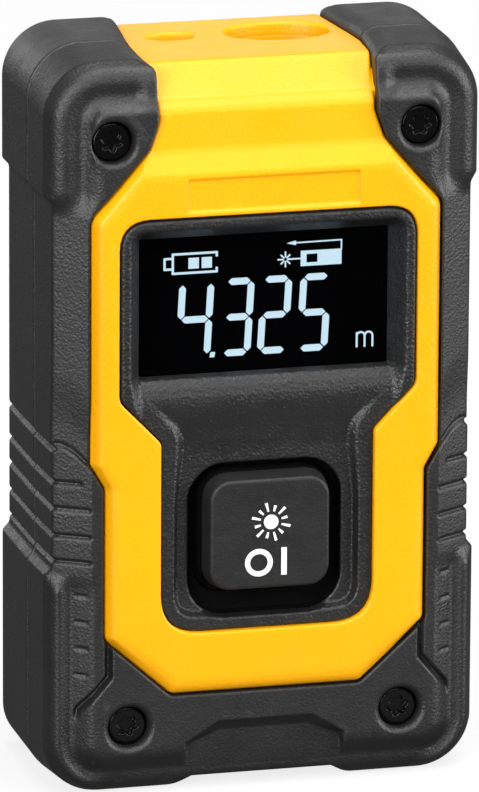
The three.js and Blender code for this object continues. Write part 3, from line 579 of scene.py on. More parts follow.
# ------------------------------------------------------------------ front rubber
def front_overmould():
    g = Grid((-26.2, -11.95, -0.6), (26.2, -0.4, 86.4), 0.2)
    X, Y, Z = g.X, g.Y, g.Z
    aX = np.abs(X)
    d = -rrect(X, Z, HALF_W, 0.0, LENGTH, CORNER_R)
    up = curve([(0, 8.3), (0.6, 9.25), (1.2, 9.7), (2.0, 9.92), (2.8, 9.78), (3.4, 9.68), (4.0, 9.86), (4.8, 10.55),
                (5.4, 10.98), (6.2, 11.2), (7, 11.2)], 1.3)(d)
    low = curve([(0, 8.3), (0.6, 9.2), (1.0, 9.6), (1.4, 9.65), (1.9, 9.45), (2.5, 9.3), (3.0, 9.6), (3.3, 9.85),
                 (4.6, 10.7), (5.0, 10.9), (6, 10.95)], 0.4)(d)
    sole = curve([(0, 8.3), (0.5, 9.0), (1.0, 9.45), (1.6, 9.8), (2.2, 9.95), (2.8, 10.05), (3.6, 10.45), (4.6, 10.95),
                  (5.6, 11.2), (7, 11.25)], 0.6)(d)
    under = ss(5.5, 2.0, Z) * ss(21.5, 17.5, aX)
    low = low * (1 - under) + sole * under
    mid = np.minimum(8.6 + (HALF_WAIST - aX) * 0.6026, 10.95).astype(F32) + 0 * Z
    wu = ss(67.6, 70.8, Z)
    wl = 1 - ss(24.2, 26.4, Z)
    # Pad of the grip: raised a little over the bevel above it.
    edge = curve([(18.9, 36.7), (19.58, 37.76), (20.42, 38.82), (20.99, 39.33), (21.76, 40.15), (22.4, 40.58),
                  (23.11, 40.91), (23.81, 40.97), (24.3, 40.5)], 0.3)(aX)
    over = Z - edge
    mid = mid - 0.42 * ss(0.0, 0.35, over) * (1 - ss(2.5, 9.0, over)) - 0.25 * np.clip(1 - np.abs(over - 0.4) / 0.45, 0, 1)
    # Grooves on the bevel.
    for n, z in enumerate(GROOVE_Z[1:]):
        inner = 21.3 if n == 0 else 20.3
        mid = mid - groove_depth(Z - z, 0.42, 0.4, 0.34) * ss(inner - 0.25, inner + 0.1, aX)
    a = mid * (1 - wu - wl) + up * wu + low * wl
    # Notches under the grooves.
    for z in (23.9, 20.8, 17.7, 14.6):
        a = a - 0.24 * groove_depth(Z - z, 1.0, 0.4, 0.22) * slab_mask(aX, 20.7, 21.7, 0.25)
    # Platform of the lower screws, with a groove along its outer edge.
    plat = sd_poly(aX + 0 * Z, Z + 0 * X, [(-1, 40), (17.9, 40), (17.9, 14.2), (21.3, 10.2), (21.9, 8.6), (21.9, -3),
                                          (-1, -3)])
    lift = ss(0.2, -0.15, plat) * ss(3.0, 6.0, d) * ss(26.0, 22.0, Z)
    a = np.where(wl > 0, np.maximum(a, a + (11.25 - a) * lift), a)
    a = a - 0.75 * np.clip(1.25 - np.abs(plat - 0.33) / 0.36, 0, 1) * ss(19.4, 18.9, Z) * ss(22.0, 21.6, aX) * ss(9.0, 9.8, Z)
    # Platform of the upper screws, and the strip beside the neck where the ridge ends.
    a = a + (11.2 - a) * ss(72.5, 76, Z) * ss(4.6, 5.6, d)
    strip = curve([(0, 8.3), (0.6, 9.35), (1.2, 9.9), (2.0, 10.35), (3.0, 10.75), (4.0, 11.0), (5.0, 11.2), (7, 11.2)], 0.6)(d)
    a = a + (np.maximum(a, strip) - a) * 0.55 * ss(15.2, 13.4, aX) * ss(76.0, 79.0, Z)
    # Finger relief in the middle of the base.
    arch = sd_poly(X + 0 * Z, Z + 0 * X, [(-9.3, -2), (-9.3, 6.0), (-5.5, 8.35), (5.5, 8.35), (9.3, 6.0), (9.3, -2)])
    band = np.interp(Z, [5.0, 7.0], [0.35, 1.25])
    sunk = curve([(-1, 9.3), (0.9, 9.35), (1.45, 9.75), (2.0, 9.95), (4.0, 10.1), (9, 10.35)], 0.4)(Z) + 0 * X
    a = a + (np.minimum(sunk, a) - a) * np.clip(-arch / band, 0, 1) ** 0.8
    F = both(outer(g), front_of(g, a), (0.3 + 0.4 * (wu + wl)).astype(F32))
    # Inner chamfer on the crest of the top bumpers.
    crest = (Z - LENGTH - rise(Y) + (neck_half(Y) + 1.75 - aX) * 0.45) / 1.097
    crest = np.maximum(crest, (Z - LENGTH - rise(Y) + neck_half(Y) + 1.14 - aX) / 1.414)
    F = both(F, crest.astype(F32), 0.15)
    F = minus(F, base_relief(g), 0.35)
    F = both(F, Y - (Y_SPLIT - 0.1), 0.03)
    hole = sd_poly(X + 0 * Z, Z + 0 * X, FRAME_OUT) - 0.13
    F = minus(F, np.maximum(hole, Y + 8.0), 0.28)
    F = minus(F, np.maximum(aX - neck_half(Y) - 0.13, 77.2 - Z), 0.15)
    F = np.maximum(F, -shell_outer(g, 0.15))
    for x, z in SCREWS:
        r = disc(X, Z, x, z, 0)
        F = minus(F, np.maximum(r - 2.36, Y + 8.0), 0.1)
        F = minus(F, (r - 2.36 + (Y + 10.72) * 0.9) / 1.345, 0.2)
        # The rubber lines the hole down to the seat of the screw.
        F = np.minimum(F, np.maximum(np.abs(r - 2.52) - 0.16, slab(Y, -9.9, -8.7)))
    return sculpt("front_overmould", F, g, RUBBER, "case", ["front_overmould"], 190000)


def slab_mask(v, a, b, s):
    return ss(a - s, a, v) * (1 - ss(b, b + s, v))


# ------------------------------------------------------------------ rear rubber
def rear_overmould():
    g = Grid((-26.3, -1.5, -0.6), (26.3, 13.3, 86.4), 0.25)
    X, Y, Z = g.X, g.Y, g.Z
    o = outer(g)
    back = Y - Y_BACK
    edge = (o + 1.6) * 0.614 + (Y - Y_BACK) * 0.789
    F = both(both(o, back, 0.4), edge.astype(F32), 0.8)
    F = both(F, (Y_SPLIT + 0.1) - Y, 0.03)
    crest = (Z - LENGTH - rise(Y) + (neck_half(Y) + 1.75 - np.abs(X)) * 0.45) / 1.097
    crest = np.maximum(crest, (Z - LENGTH - rise(Y) + neck_half(Y) + 1.14 - np.abs(X)) / 1.414)
    F = both(F, crest.astype(F32), 0.15)
    F = minus(F, base_relief(g), 0.35)
    F = minus(F, np.maximum(np.abs(X) - neck_half(Y) - 0.13, 82.2 - Z), 0.15)
    F = np.maximum(F, -np.maximum(shell_outer(g, 0.15), Y - 12.05))
    F = minus(F, np.maximum(rrect(X, Z, 19.5, 7.0, 78.0, 3.8), 11.0 - Y), 0.35)
    F = minus(F, np.maximum(rrect(X, Y, POCKET["hw"] + 0.05, POCKET["y0"] - 0.05, POCKET["y1"] + 0.05, 0.6), Z - 4), 0.25)
    F = minus(F, np.maximum(np.maximum(np.abs(X) - 3.25, slab(Y, 9.55, 10.65)), Z - 4), 0.1)
    return sculpt("rear_overmould", F, g, RUBBER, "case", ["rear_overmould"], 150000)


# ------------------------------------------------------------------ yellow front shell
def front_housing():
    g = Grid((-22.7, -12.3, 1.9), (22.7, 13.1, 84.75), 0.2)
    X, Y, Z = g.X, g.Y, g.Z
    aX = np.abs(X)
    # Hidden shell with its wall.
    S = np.maximum(shell_outer(g, 0.0), Y - (Y_SPLIT - 0.1))
    d = rrect(X, Z, SHELL["hw"], SHELL["z0"], SHELL["z1"], SHELL["r"])
    hollow = np.maximum(d + SHELL["wall"], -7.8 - Y)
    hollow = np.maximum(hollow, (d + SHELL["wall"] + 1.6) * 0.66 + (-6.4 - Y) * 0.75 - 1.6 * 0.66)
    S = minus(S, hollow, 0.2)
    for x, z in SCREWS:
        S = np.minimum(S, np.maximum(disc(X, Z, x, z, 2.55), slab(Y, -8.4, Y_SPLIT - 0.1)))
    # Raised frame: rolled edge, then a nearly flat face that dips towards the neck.
    poly = sd_poly(X + 0 * Z, Z + 0 * X, FRAME_OUT)
    d2 = -poly
    roll = curve([(0, 10.2), (0.3, 10.9), (0.58, 11.5), (0.74, 11.7), (1.0, 11.82), (1.5, 11.92), (1.9, 11.95),
                  (4, 11.95)], 0.12)(d2)
    sill = curve([(0, 10.5), (0.12, 10.95), (0.4, 11.32), (0.75, 11.6), (1.15, 11.79), (1.7, 11.91), (2.3, 11.95),
                  (4, 11.95)], 0.15)(d2)
    foot = ss(19.0, 14.5, Z)
    roll = roll * (1 - foot) + sill * foot
    spine = curve([(10, 11.95), (71.9, 11.95), (72.6, 11.86), (74.6, 10.78), (75.2, 10.6), (79.2, 10.32), (79.7, 10.1),
                   (84.2, 6.2), (90, 1.2)], 0.55)(Z)
    w = ss(73.0, 76.5, Z)
    bead = 0.08 * np.clip(1 - np.abs(d2 - 0.8) / 0.7, 0, 1) ** 2 * ss(80.0, 78.5, Z)
    a = (np.minimum(roll, spine + 0 * X) * (1 - w) + (spine + bead) * w).astype(F32)
    # Blank shallow recess over the display.
    rec = rrect(X, Z, 9.95, 68.1, 71.9, 0.25, 0.5)
    a = a - 0.28 * ss(0.1, -0.18, rec)
    T = both(poly, front_of(g, a), (0.12 + 0.18 * w).astype(F32))
    T = both(T, Z - Z_PLATE, 0.45)
    T = np.maximum(T, Y + 8.0)
    top = both(aX - neck_half(Y) - 0.03, Z - Z_PLATE, 0.3)
    slope = front_of(g, (spine + 0 * X).astype(F32))
    top = both(top, slope, 0.3)
    top = both(top, Y - 12.6, 0.3)
    cavity = np.maximum(np.maximum(Z - 82.55, -5.4 - Y), 70 - Z)
    under = np.maximum((Z - 79.0) * 0.7 - (Y + 9.1) * 0.7, -9.1 - Y)
    inside = np.minimum(cavity, np.maximum(under, Z - 82.55))
    top = np.maximum(np.maximum(top, -inside), 77.0 - Z)
    F = either(np.minimum(S, T), top, 0.0)
    F = np.minimum(F, np.maximum(rrect(X, Y, 12.1, 0.4, 10.4, 0.5, 0.5), slab(Z, 80.0, 82.9)))
    for cx, cy, ra, rb, taper in PORTS:
        t = np.clip((Z - 79) / (Z_PLATE - 79), 0, 1.05)
        k = taper + (1 - taper) * t
        q = np.sqrt(((X - cx) / (ra * k)) ** 2 + ((Y - cy) / (rb * k)) ** 2)
        F = minus(F, ((q - 1) * rb).astype(F32), 0.35)
    F = minus(F, np.maximum(sd_poly(X + 0 * Z, Z + 0 * X, PANEL_OUT) - 0.13, Y + 7.0), 0.25)
    for x, z in SCREWS:
        r = disc(X, Z, x, z, 0)
        F = np.maximum(F, -np.maximum(r - 1.35, Y))
        F = np.maximum(F, -np.maximum(r - 2.75, Y + 8.55))
    return sculpt("front_housing", F, g, YELLOW, "case", ["front_housing"], 190000)


# ------------------------------------------------------------------ display and key insert
def display_bezel():
    g = Grid((-17.7, -12.3, 18.6), (17.7, -7.9, 68.0), 0.16)
    X, Y, Z = g.X, g.Y, g.Z
    poly = sd_poly(X + 0 * Z, Z + 0 * X, PANEL_OUT)
    inset = -poly
    rim = curve([(0, 11.45), (0.2, 11.8), (0.45, 11.88), (3, 11.88)], 0.2)(inset)
    # Ramp that falls from a ridge under the display to the floor round the key.
    ramp = curve([(18, 10.25), (40.2, 10.25), (42.6, 10.62), (44.6, 11.1), (46.2, 11.45), (48.2, 11.55), (60, 11.55)], 1.6)(Z)
    wide = np.interp(Z, [34.0, 40.0, 48.0], [0.9, 1.7, 1.25])
    t = np.clip((inset - 1.2) / wide, 0, 1)
    fall = t * t * (3 - 2 * t)
    a = rim * (1 - fall) + ramp * fall
    # Walls that slope down to the window.
    wx = np.maximum(np.abs(X) - WINDOW["hw"], 0)
    wz = np.maximum(Z - WINDOW["z1"], 0)
    # Under the window the wall is low, and then bulges out to the ridge.
    lip = curve([(-1, 9.0), (0, 9.0), (0.15, 9.95), (0.5, 10.42), (1.2, 10.84), (2.2, 11.16), (3.2, 11.3), (40, 11.35)],
                0.15)(WINDOW["z0"] - Z) - 9.0
    funnel = 9.0 + np.sqrt((1.75 * wx) ** 2 + (1.75 * wz) ** 2 + lip ** 2)
    k = 0.45
    h = np.clip(0.5 + 0.5 * (funnel - a) / k, 0, 1)
    a = (funnel * (1 - h) + a * h - k * h * (1 - h)).astype(F32)
    F = both(poly, front_of(g, a), 0.1)
    F = np.maximum(F, Y + 8.3)
    F = minus(F, rrect(X, Z, WINDOW["hw"], WINDOW["z0"], WINDOW["z1"], 0.5), 0.12)
    F = np.maximum(F, -np.maximum(rrect(X, Z, 15.1, 47.9, 65.4, 0.3), -9.0 - Y))
    # Well round the key.
    well = rrect(X, Z, 8.65, 20.85, 38.35, 4.0) - 0.28 * np.clip((-8.8 - Y) / 1.6, 0, 1) * ss(38.0, 34.0, Z)
    F = minus(F, np.maximum(well, Y + 8.8), 0.3)
    F = minus(F, rrect(X, Z, 7.95, 22.95, 38.1, 3.1), 0.15)
    o = sculpt("display_bezel", F, g, DARK, "case", ["display_bezel"], 120000)
    # The inside of the well is painted matt black: painted shade, so the well round the key reads dark.
    paint_shade(o, lambda c: (c[:, 1] > -10.05) & (rrect(c[:, 0], c[:, 2], 8.65, 20.85, 38.35, 4.0) < 0.3))
    return o


def paint_shade(o, inside):
    """A second, matt black material on the faces whose centre, in mm, is inside: painted shade."""
    me = o.data
    me.materials.append(SHADE_BLACK)
    c = np.empty(len(me.polygons) * 3, F32)
    me.polygons.foreach_get("center", c)
    c = c.reshape(-1, 3) * 1000
    me.polygons.foreach_set("material_index", inside(c).astype(np.int32))


# ------------------------------------------------------------------ measuring key
def measure_key():
    g = Grid((-8.6, -13.2, 22.4), (8.6, -3.0, 38.6), 0.14)
    X, Y, Z = g.X, g.Y, g.Z
    flare = 0.6 * np.clip((Y + 12.4) / 3.4, 0, 1)
    out = (rrect(X, Z, KEY["hw"], KEY["z0"], KEY["z1"], KEY["r"]) - flare) * 0.985
    dish = 12.8 - 0.06 * np.clip(1 - ((X / 6.0) ** 2 + ((Z - 30.5) / 6.0) ** 2), 0, 1)
    F = both(out, front_of(g, dish.astype(F32)), 0.42)
    F = np.maximum(F, Y + 7.7)
    F = np.minimum(F, both(rrect(X, Z, 8.2, 22.85, 38.2, 1.2), slab(Y, -8.1, -7.3), 0.1))
    F = np.minimum(F, np.maximum(np.maximum(np.abs(X) - 1.6, slab(Z, 28.95, 32.15)), slab(Y, -7.6, -3.35)))
    o = sculpt("measure_key", F, g, KEYMAT, "key", ["measure_key"], 60000)
    # The key's sides and flange deep in the well are painted matt black: painted shade in the gap round it.
    paint_shade(o, lambda c: c[:, 1] > -10.4)
    return o


# ------------------------------------------------------------------ flat marks
def prism_into(parts, pts, y0, y1):
    """A thin prism of an [x, z] outline between two depths, listed anticlockwise seen from the front."""
    parts.append((list(pts), y0, y1))


def marks(name, parts, mat, body, bevel=0.0):
    verts, faces = [], []
    for pts, y0, y1 in parts:
        n = len(pts)
        b = len(verts)
        area = sum(pts[i][0] * pts[(i + 1) % n][1] - pts[(i + 1) % n][0] * pts[i][1] for i in range(n))
        if area < 0:
            pts = pts[::-1]
        verts += [(x, y0, z) for x, z in pts] + [(x, y1, z) for x, z in pts]
        faces.append([b + i for i in range(n)])
        faces.append([b + n + i for i in reversed(range(n))])
        for i in range(n):
            j = (i + 1) % n
            faces.append([b + j, b + i, b + n + i, b + n + j])
    me = bpy.data.meshes.new(name)
    me.from_pydata([(x * 0.001, y * 0.001, z * 0.001) for x, y, z in verts], [], faces)
    me.validate()
    me.update()
    return add(name, me, mat, body, ())


def ring_parts(parts, cx, cz, r0, r1, y0, y1, n=40):
    for i in range(n):
        a, b = 2 * math.pi * i / n, 2 * math.pi * (i + 1) / n
        parts.append((
            [(cx + r0 * math.cos(a), cz + r0 * math.sin(a)), (cx + r1 * math.cos(a), cz + r1 * math.sin(a)),
             (cx + r1 * math.cos(b), cz + r1 * math.sin(b)), (cx + r0 * math.cos(b), cz + r0 * math.sin(b))], y0, y1))


def bar(parts, x0, z0, x1, z1, w, y0, y1):
    dx, dz = x1 - x0, z1 - z0
    l = math.hypot(dx, dz)
    nx, nz = -dz / l * w / 2, dx / l * w / 2
    parts.append(([(x0 - nx, z0 - nz), (x1 - nx, z1 - nz), (x1 + nx, z1 + nz), (x0 + nx, z0 + nz)], y0, y1))


def digit(parts, which, x, w, z0, z1, slant, t, y0, y1, y_mid=None):
    """A seven-segment digit with mitred ends."""
    zm = (z0 + z1) / 2 if y_mid is None else y_mid
    gap = 0.1
    h = t / 2

    def sx(px, pz):
        return (px + (pz - z0) * slant, pz)

    def vert(cx, za, zb):
        za, zb = za + gap, zb - gap
        pts = [(cx, za), (cx + h, za + h), (cx + h, zb - h), (cx, zb), (cx - h, zb - h), (cx - h, za + h)]
        parts.append(([sx(*p) for p in pts], y0, y1))

    def horiz(cz, xa, xb):
        xa, xb = xa + gap, xb - gap
        pts = [(xa, cz), (xa + h, cz - h), (xb - h, cz - h), (xb, cz), (xb - h, cz + h), (xa + h, cz + h)]
        parts.append(([sx(*p) for p in pts], y0, y1))

    L, R = x + h, x + w - h
    B, T = z0 + h, z1 - h
    seg = {
        "a": lambda: horiz(T, L, R), "d": lambda: horiz(B, L, R), "g": lambda: horiz(zm, L, R),
        "f": lambda: vert(L, zm, T), "b": lambda: vert(R, zm, T), "e": lambda: vert(L, B, zm), "c": lambda: vert(R, B, zm),
    }
    for s in which:
        seg[s]()


def display_marks():
    P = []
    y0, y1 = -7.36, -7.31
    slant = 0.055
    digit(P, "fgbc", -9.75, 4.05, 50.0, 59.05, slant, 0.78, y0, y1)
    digit(P, "abgcd", -5.0 + 0.42, 3.85 - 0.3, 50.0, 59.05, slant, 0.78, y0, y1)
    digit(P, "abged", -0.28, 3.62, 50.0, 59.05, slant, 0.78, y0, y1)
    digit(P, "afgcd", 4.3, 3.62, 50.0, 59.05, slant, 0.78, y0, y1)
    P.append(([(-5.75, 50.0), (-5.2, 50.0), (-5.1, 50.6), (-5.65, 50.6)], y0, y1))
    # Battery.
    w = 0.26
    for x0, z0, x1, z1 in ((-10.14, 62.2, -4.88, 62.2), (-10.14, 59.98, -4.88, 59.98), (-10.05, 59.9, -10.05, 62.3),
                           (-4.97, 59.9, -4.97, 60.5), (-4.97, 61.7, -4.97, 62.3), (-11.06, 60.5, -10.14, 60.5),
                           (-11.06, 61.72, -10.14, 61.72), (-11.0, 60.4, -11.0, 61.8)):
        bar(P, x0, z0, x1, z1, w, y0, y1)
    P.append(([(-8.24, 60.45), (-7.04, 60.45), (-7.04, 61.7), (-8.24, 61.7)], y0, y1))
    P.append(([(-6.71, 60.45), (-5.53, 60.45), (-5.53, 61.7), (-6.71, 61.7)], y0, y1))
    # Where the measurement starts: device, beam and burst.
    bar(P, 3.6, 62.72, 9.55, 62.78, 0.16, y0, y1)
    P.append(([(3.14, 62.72), (4.2, 62.45), (4.2, 63.0)], y0, y1))
    bar(P, 9.5, 62.85, 9.5, 61.7, 0.16, y0, y1)
    for x0, z0, x1, z1 in ((6.72, 59.97, 9.52, 61.75), (4.77, 61.35, 6.72, 61.75), (4.77, 59.97, 6.72, 60.36),
                           (4.77, 60.36, 5.44, 61.35)):
        P.append(([(x0, z0), (x1, z0), (x1, z1), (x0, z1)], y0, y1))
    for i in range(8):
        a = math.pi * i / 4
        l = 0.92 if i % 2 == 0 else 0.78
        bar(P, 3.0 + 0.2 * math.cos(a), 60.87 + 0.2 * math.sin(a), 3.0 + l * math.cos(a), 60.87 + l * math.sin(a), 0.17, y0, y1)
    bar(P, 3.9, 60.87, 4.8, 60.87, 0.17, y0, y1)
    # The unit, metres.
    for x in (11.38, 12.3, 13.22):
        bar(P, x, 50.1, x, 51.42 if x > 12 else 51.85, 0.22, y0, y1)
    for cx in (11.84, 12.76):
        for i in range(8):
            a, b = math.pi * i / 8, math.pi * (i + 1) / 8
            P.append(([(cx + r * math.cos(t), 51.4 + r * math.sin(t)) for r, t in
                       ((0.35, a), (0.57, a), (0.57, b), (0.35, b))], y0, y1))
    return marks("display_symbols", P, GLOW, "case")


def key_marks():
    P = []
    y0, y1 = -12.83, -12.78
    cx, cz = 0.1, 31.9
    # Burst.
    n = 12
    for i in range(n):
        a = 2 * math.pi * i / n + math.pi / 12
        r0, r1 = 1.25, 2.3 if i % 2 else 1.95
        w = 0.17
        ca, sa = math.cos(a), math.sin(a)
        P.append(([(cx + r0 * ca - w * 0.6 * sa, cz + r0 * sa + w * 0.6 * ca), (cx + r0 * ca + w * 0.6 * sa, cz + r0 * sa - w * 0.6 * ca),
                   (cx + r1 * ca + w * sa, cz + r1 * sa - w * ca), (cx + r1 * ca - w * sa, cz + r1 * sa + w * ca)], y0, y1))
    P.append(([(cx + 0.85 * math.cos(2 * math.pi * i / 28), cz + 0.85 * math.sin(2 * math.pi * i / 28)) for i in range(28)], y0, y1))
    # Ring and bar.
    ring_parts(P, -1.3, 27.2, 1.02, 1.62, y0, y1, 36)
    P.append(([(1.3, 25.6), (1.95, 25.6), (1.95, 28.82), (1.3, 28.82)], y0, y1))
    return marks("key_symbol", P, PRINT, "key")


# ------------------------------------------------------------------ flat parts with eased edges
def display_window():
    g = Grid((-15.3, -9.3, 47.7), (15.3, -7.6, 65.6), 0.14)
    F = both(rrect(g.X, g.Z, 14.9, 48.1, 65.2, 0.6), slab(g.Y, -8.95, -7.95), 0.12)
    return sculpt("display_window", F, g, GLASS, "case", ["display_window"], 40000)


def rating_plate():
    g = Grid((-12.4, 11.95, 19.6), (12.4, 12.66, 60.4), 0.1)
    F = both(rrect(g.X, g.Z, 12.1, 19.9, 60.1, 1.0), slab(g.Y, 12.22, 12.4), 0.05)
    ridge = np.abs(rrect(g.X, g.Z, 11.4, 20.6, 59.4, 0.7)) - 0.12
    F = minus(F, np.maximum(ridge, 12.34 - g.Y), 0.03)
    return sculpt("rating_plate", F, g, PLATE, "case", ["rating_plate"], 60000)


# ------------------------------------------------------------------ rear shell
def rear_housing():
    g = Grid((-22.7, -1.6, 1.9), (22.7, 13.0, 82.9), 0.26)
    X, Y, Z = g.X, g.Y, g.Z
    d = rrect(X, Z, SHELL["hw"], SHELL["z0"], SHELL["z1"], SHELL["r"])
    F = both(d, slab(Y, Y_SPLIT + 0.1, 11.9), 0.2)
    F = minus(F, np.maximum(d + SHELL["wall"], Y - 10.8), 0.2)

    def post(x, z, r, y0):
        return np.maximum(disc(X, Z, x, z, r), slab(Y, y0, 11.2))

    for x, z in SCREWS:
        F = np.minimum(F, post(x, z, 2.55, Y_SPLIT + 0.1))
    for x, z in ((-16.6, 48.4), (16.6, 48.4), (-16.6, 17.0), (16.6, 17.0)):
        F = np.minimum(F, post(x, z, 2.1, 2.55))
    for x, z in ((-14.6, 66.0), (15.9, 66.0)):
        F = np.minimum(F, post(x, z, 2.1, 7.2))
    pad = both(rrect(X, Z, 19.2, 7.3, 77.7, 3.5), slab(Y, 11.5, 12.4), 0.25)
    F = np.minimum(F, pad)
    F = minus(F, np.maximum(rrect(X, Z, 12.3, 19.7, 60.3, 1.2), 12.2 - Y), 0.12)
    # Two shallow grip bands on the pad, above and below the plate.
    for z in (64.0, 66.0, 68.0, 70.0, 72.0, 10.5, 12.5, 14.5, 16.5):
        F = minus(F, np.maximum(rrect(X, Z, 14.0, z - 0.4, z + 0.4, 0.4), 12.12 - Y), 0.12)
    F = np.maximum(F, -np.maximum(np.maximum(np.abs(X) - 14.6, 79.0 - Z), Y - 12.75))
    F = np.minimum(F, np.maximum(np.maximum(np.abs(X) - POCKET["hw"] - 1.2, slab(Y, -0.5, 8.3)), slab(Z, 3.0, 7.0)))
    F = minus(F, np.maximum(rrect(X, Y, POCKET["hw"], POCKET["y0"], POCKET["y1"], 0.5), Z - 8), 0.1)
    F = np.maximum(F, -np.maximum(np.maximum(np.abs(X) - 3.2, slab(Y, 9.6, 10.6)), Z - 4.6))
    for x, z in SCREWS:
        F = np.maximum(F, -np.maximum(disc(X, Z, x, z, 1.22), Y - 7))
    return sculpt("rear_housing", F, g, HOUSING, "case", ["rear_housing"], 120000)


# ------------------------------------------------------------------ screws
def case_screws():
    g = Grid((-2.5, -10.5, -2.5), (2.5, 6.3, 2.5), 0.085)
    X, Y, Z = g.X, g.Y, g.Z
    r = np.sqrt(X * X + Z * Z)
    a = np.arctan2(Z, X)
    head = both(r - 2.26, slab(Y, -10.1, -8.6), 0.4)
    lobe = r - (1.06 + 0.2 * np.cos(6 * a))
    head = minus(head, np.maximum(lobe, Y + 9.3), 0.08)
    thread = 0.16 * np.cos(2 * math.pi * Y / 0.8 + a)
    shaft = np.maximum(r - 0.98 - thread, slab(Y, -9.0, 6.0))
    shaft = both(shaft, r + (Y - 6.0) * 0.7 - 0.3, 0.1)
    F0, P, Q = nets(np.minimum(head, shaft), g)
    N = gradient(F0, g.lo, g.h, P)
    N /= np.maximum(np.linalg.norm(N, axis=1), 1e-6)[:, None]
    for n, (x, z) in enumerate(SCREWS):
        t = [0.35, 1.1, 2.3, 0.8][n]
        R = np.array([[math.cos(t), 0, math.sin(t)], [0, 1, 0], [-math.sin(t), 0, math.cos(t)]])
        me = quad_mesh(f"case_screw_{n + 1}", P @ R.T + np.array([x, 0, z]), Q)
        me.polygons.foreach_set("use_smooth", np.ones(len(me.polygons), bool))
        me.normals_split_custom_set_from_vertices((N @ R.T).tolist())
        add(f"screw_{n + 1}", me, SCREWMAT, "case", [f"case_screw_{n + 1}"])


# ------------------------------------------------------------------ cover of the charging pocket
def port_cover():
    g = Grid((-7.9, -1.7, 0.2), (7.9, 9.1, 2.8), 0.11)
    X, Y, Z = g.X, g.Y, g.Z
    plate = both(rrect(X, Y, 7.5, -0.4, 8.3, 1.6), slab(Z, 0.45, 1.3), 0.15)
    plug = both(rrect(X, Y, 5.85, 1.15, 6.85, 0.8), slab(Z, 1.2, 2.5), 0.15)
    plug = minus(plug, np.maximum(rrect(X, Y, 5.05, 1.9, 6.1, 0.5), 0.9 - Z), 0.1)
    tab = both(rrect(X, Y, 2.2, -1.3, 0.6, 0.5), slab(Z, 0.45, 1.1), 0.12)
    strip = both(rrect(X, Y, 3.0, 7.8, 8.7, 0.2), slab(Z, 0.65, 1.25), 0.1)
    F = np.minimum(np.minimum(plate, plug), np.minimum(tab, strip))
    for y in (-1.0, -0.7):
        F = np.maximum(F, -np.maximum(np.maximum(np.abs(X) - 1.6, np.abs(Y - y) - 0.07), Z - 0.52))
    return sculpt("port_cover", F, g, RUBBER, "cover", ["port_cover"], 60000)


def cover_strap():
    """The thin strap between the cover and its anchor, arched a little along its length."""
    hw, n = 2.9, 44
    ys = np.linspace(8.2, 10.0, n)
    t = (ys - 8.2) / 1.8
    zc = 0.95 + 0.12 * np.sin(math.pi * t)
    th = 0.24 - 0.05 * np.sin(math.pi * t)
    m = 14
    verts, faces = [], []
    for i in range(n):
        for j in range(m + 1):
            x = -hw + 2 * hw * j / m
            e = 1 - 0.35 * (abs(x) / hw) ** 8
            verts.append((x, ys[i], zc[i] + th[i] * e))
        for j in range(m + 1):
            x = -hw + 2 * hw * j / m
            e = 1 - 0.35 * (abs(x) / hw) ** 8
            verts.append((x, ys[i], zc[i] - th[i] * e))
    row = 2 * (m + 1)
    for i in range(n - 1):
        a, b = i * row, (i + 1) * row
        for j in range(m):
            faces.append((a + j, a + j + 1, b + j + 1, b + j))
            c = m + 1
            faces.append((a + c + j + 1, a + c + j, b + c + j, b + c + j + 1))
        faces.append((a, b, b + m + 1, a + m + 1))
        faces.append((a + m, a + 2 * m + 1, b + 2 * m + 1, b + m))
    for j in range(m):
        faces.append((j + 1, j, m + 1 + j, m + 2 + j))
        q = (n - 1) * row
        faces.append((q + j, q + j + 1, q + m + 2 + j, q + m + 1 + j))
    me = bpy.data.meshes.new("cover_strap")
    me.from_pydata([(x * 0.001, y * 0.001, z * 0.001) for x, y, z in verts], [], faces)
    me.update()
    me.polygons.foreach_set("use_smooth", np.ones(len(me.polygons), bool))
    o = add("cover_strap", me, RUBBER, None, ())
    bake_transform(o)
    return o


# ------------------------------------------------------------------ build
t0 = time.time()
for make in (front_overmould, front_housing, display_bezel, measure_key, display_marks, key_marks, display_window,
             rating_plate, rear_overmould, rear_housing, case_screws, port_cover, cover_strap):
    t1 = time.time()
    o = make()
    print(f"{make.__name__}: {time.time() - t1:.1f} s", len(o.data.polygons) if o else "")

NODE_MATERIALS = {
    "battery_cell": WRAP, "battery_connector": CREAM, "battery_lead_black": BLACKW, "battery_lead_red": RED,
    "battery_pad": SEAL, "block_screw_1": PLATED, "block_screw_2": PLATED, "board_screw_1": PLATED,
    "board_screw_2": PLATED, "case_seal": SEAL, "charging_socket": TIN, "collimator_lens": LENS,
    "cover_anchor": RUBBER, "display_backlight": WHITE, "display_carrier": WHITE, "display_flex": FLEX,
    "display_panel": CELL, "flex_connector": CREAM, "laser_barrel": BRASS, "laser_diode": GOLD,
    "laser_window": LENS, "light_sensor": GOLD, "main_board": BOARD, "main_processor": CHIP,
    "optical_block": OPTIC, "optical_filter": FILTER, "receiver_lens": LENS, "sensor_board": BOARD,
    "shield_can": TIN, "socket_tongue": CHIP, "sounder": CHIP, "switch_body": CHIP, "switch_plunger": CHIP,
    "window_seal": WINDOW_SEAL,
}
for name, mat in NODE_MATERIALS.items():
    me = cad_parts[name].data
    me.materials.clear()
    me.materials.append(mat)


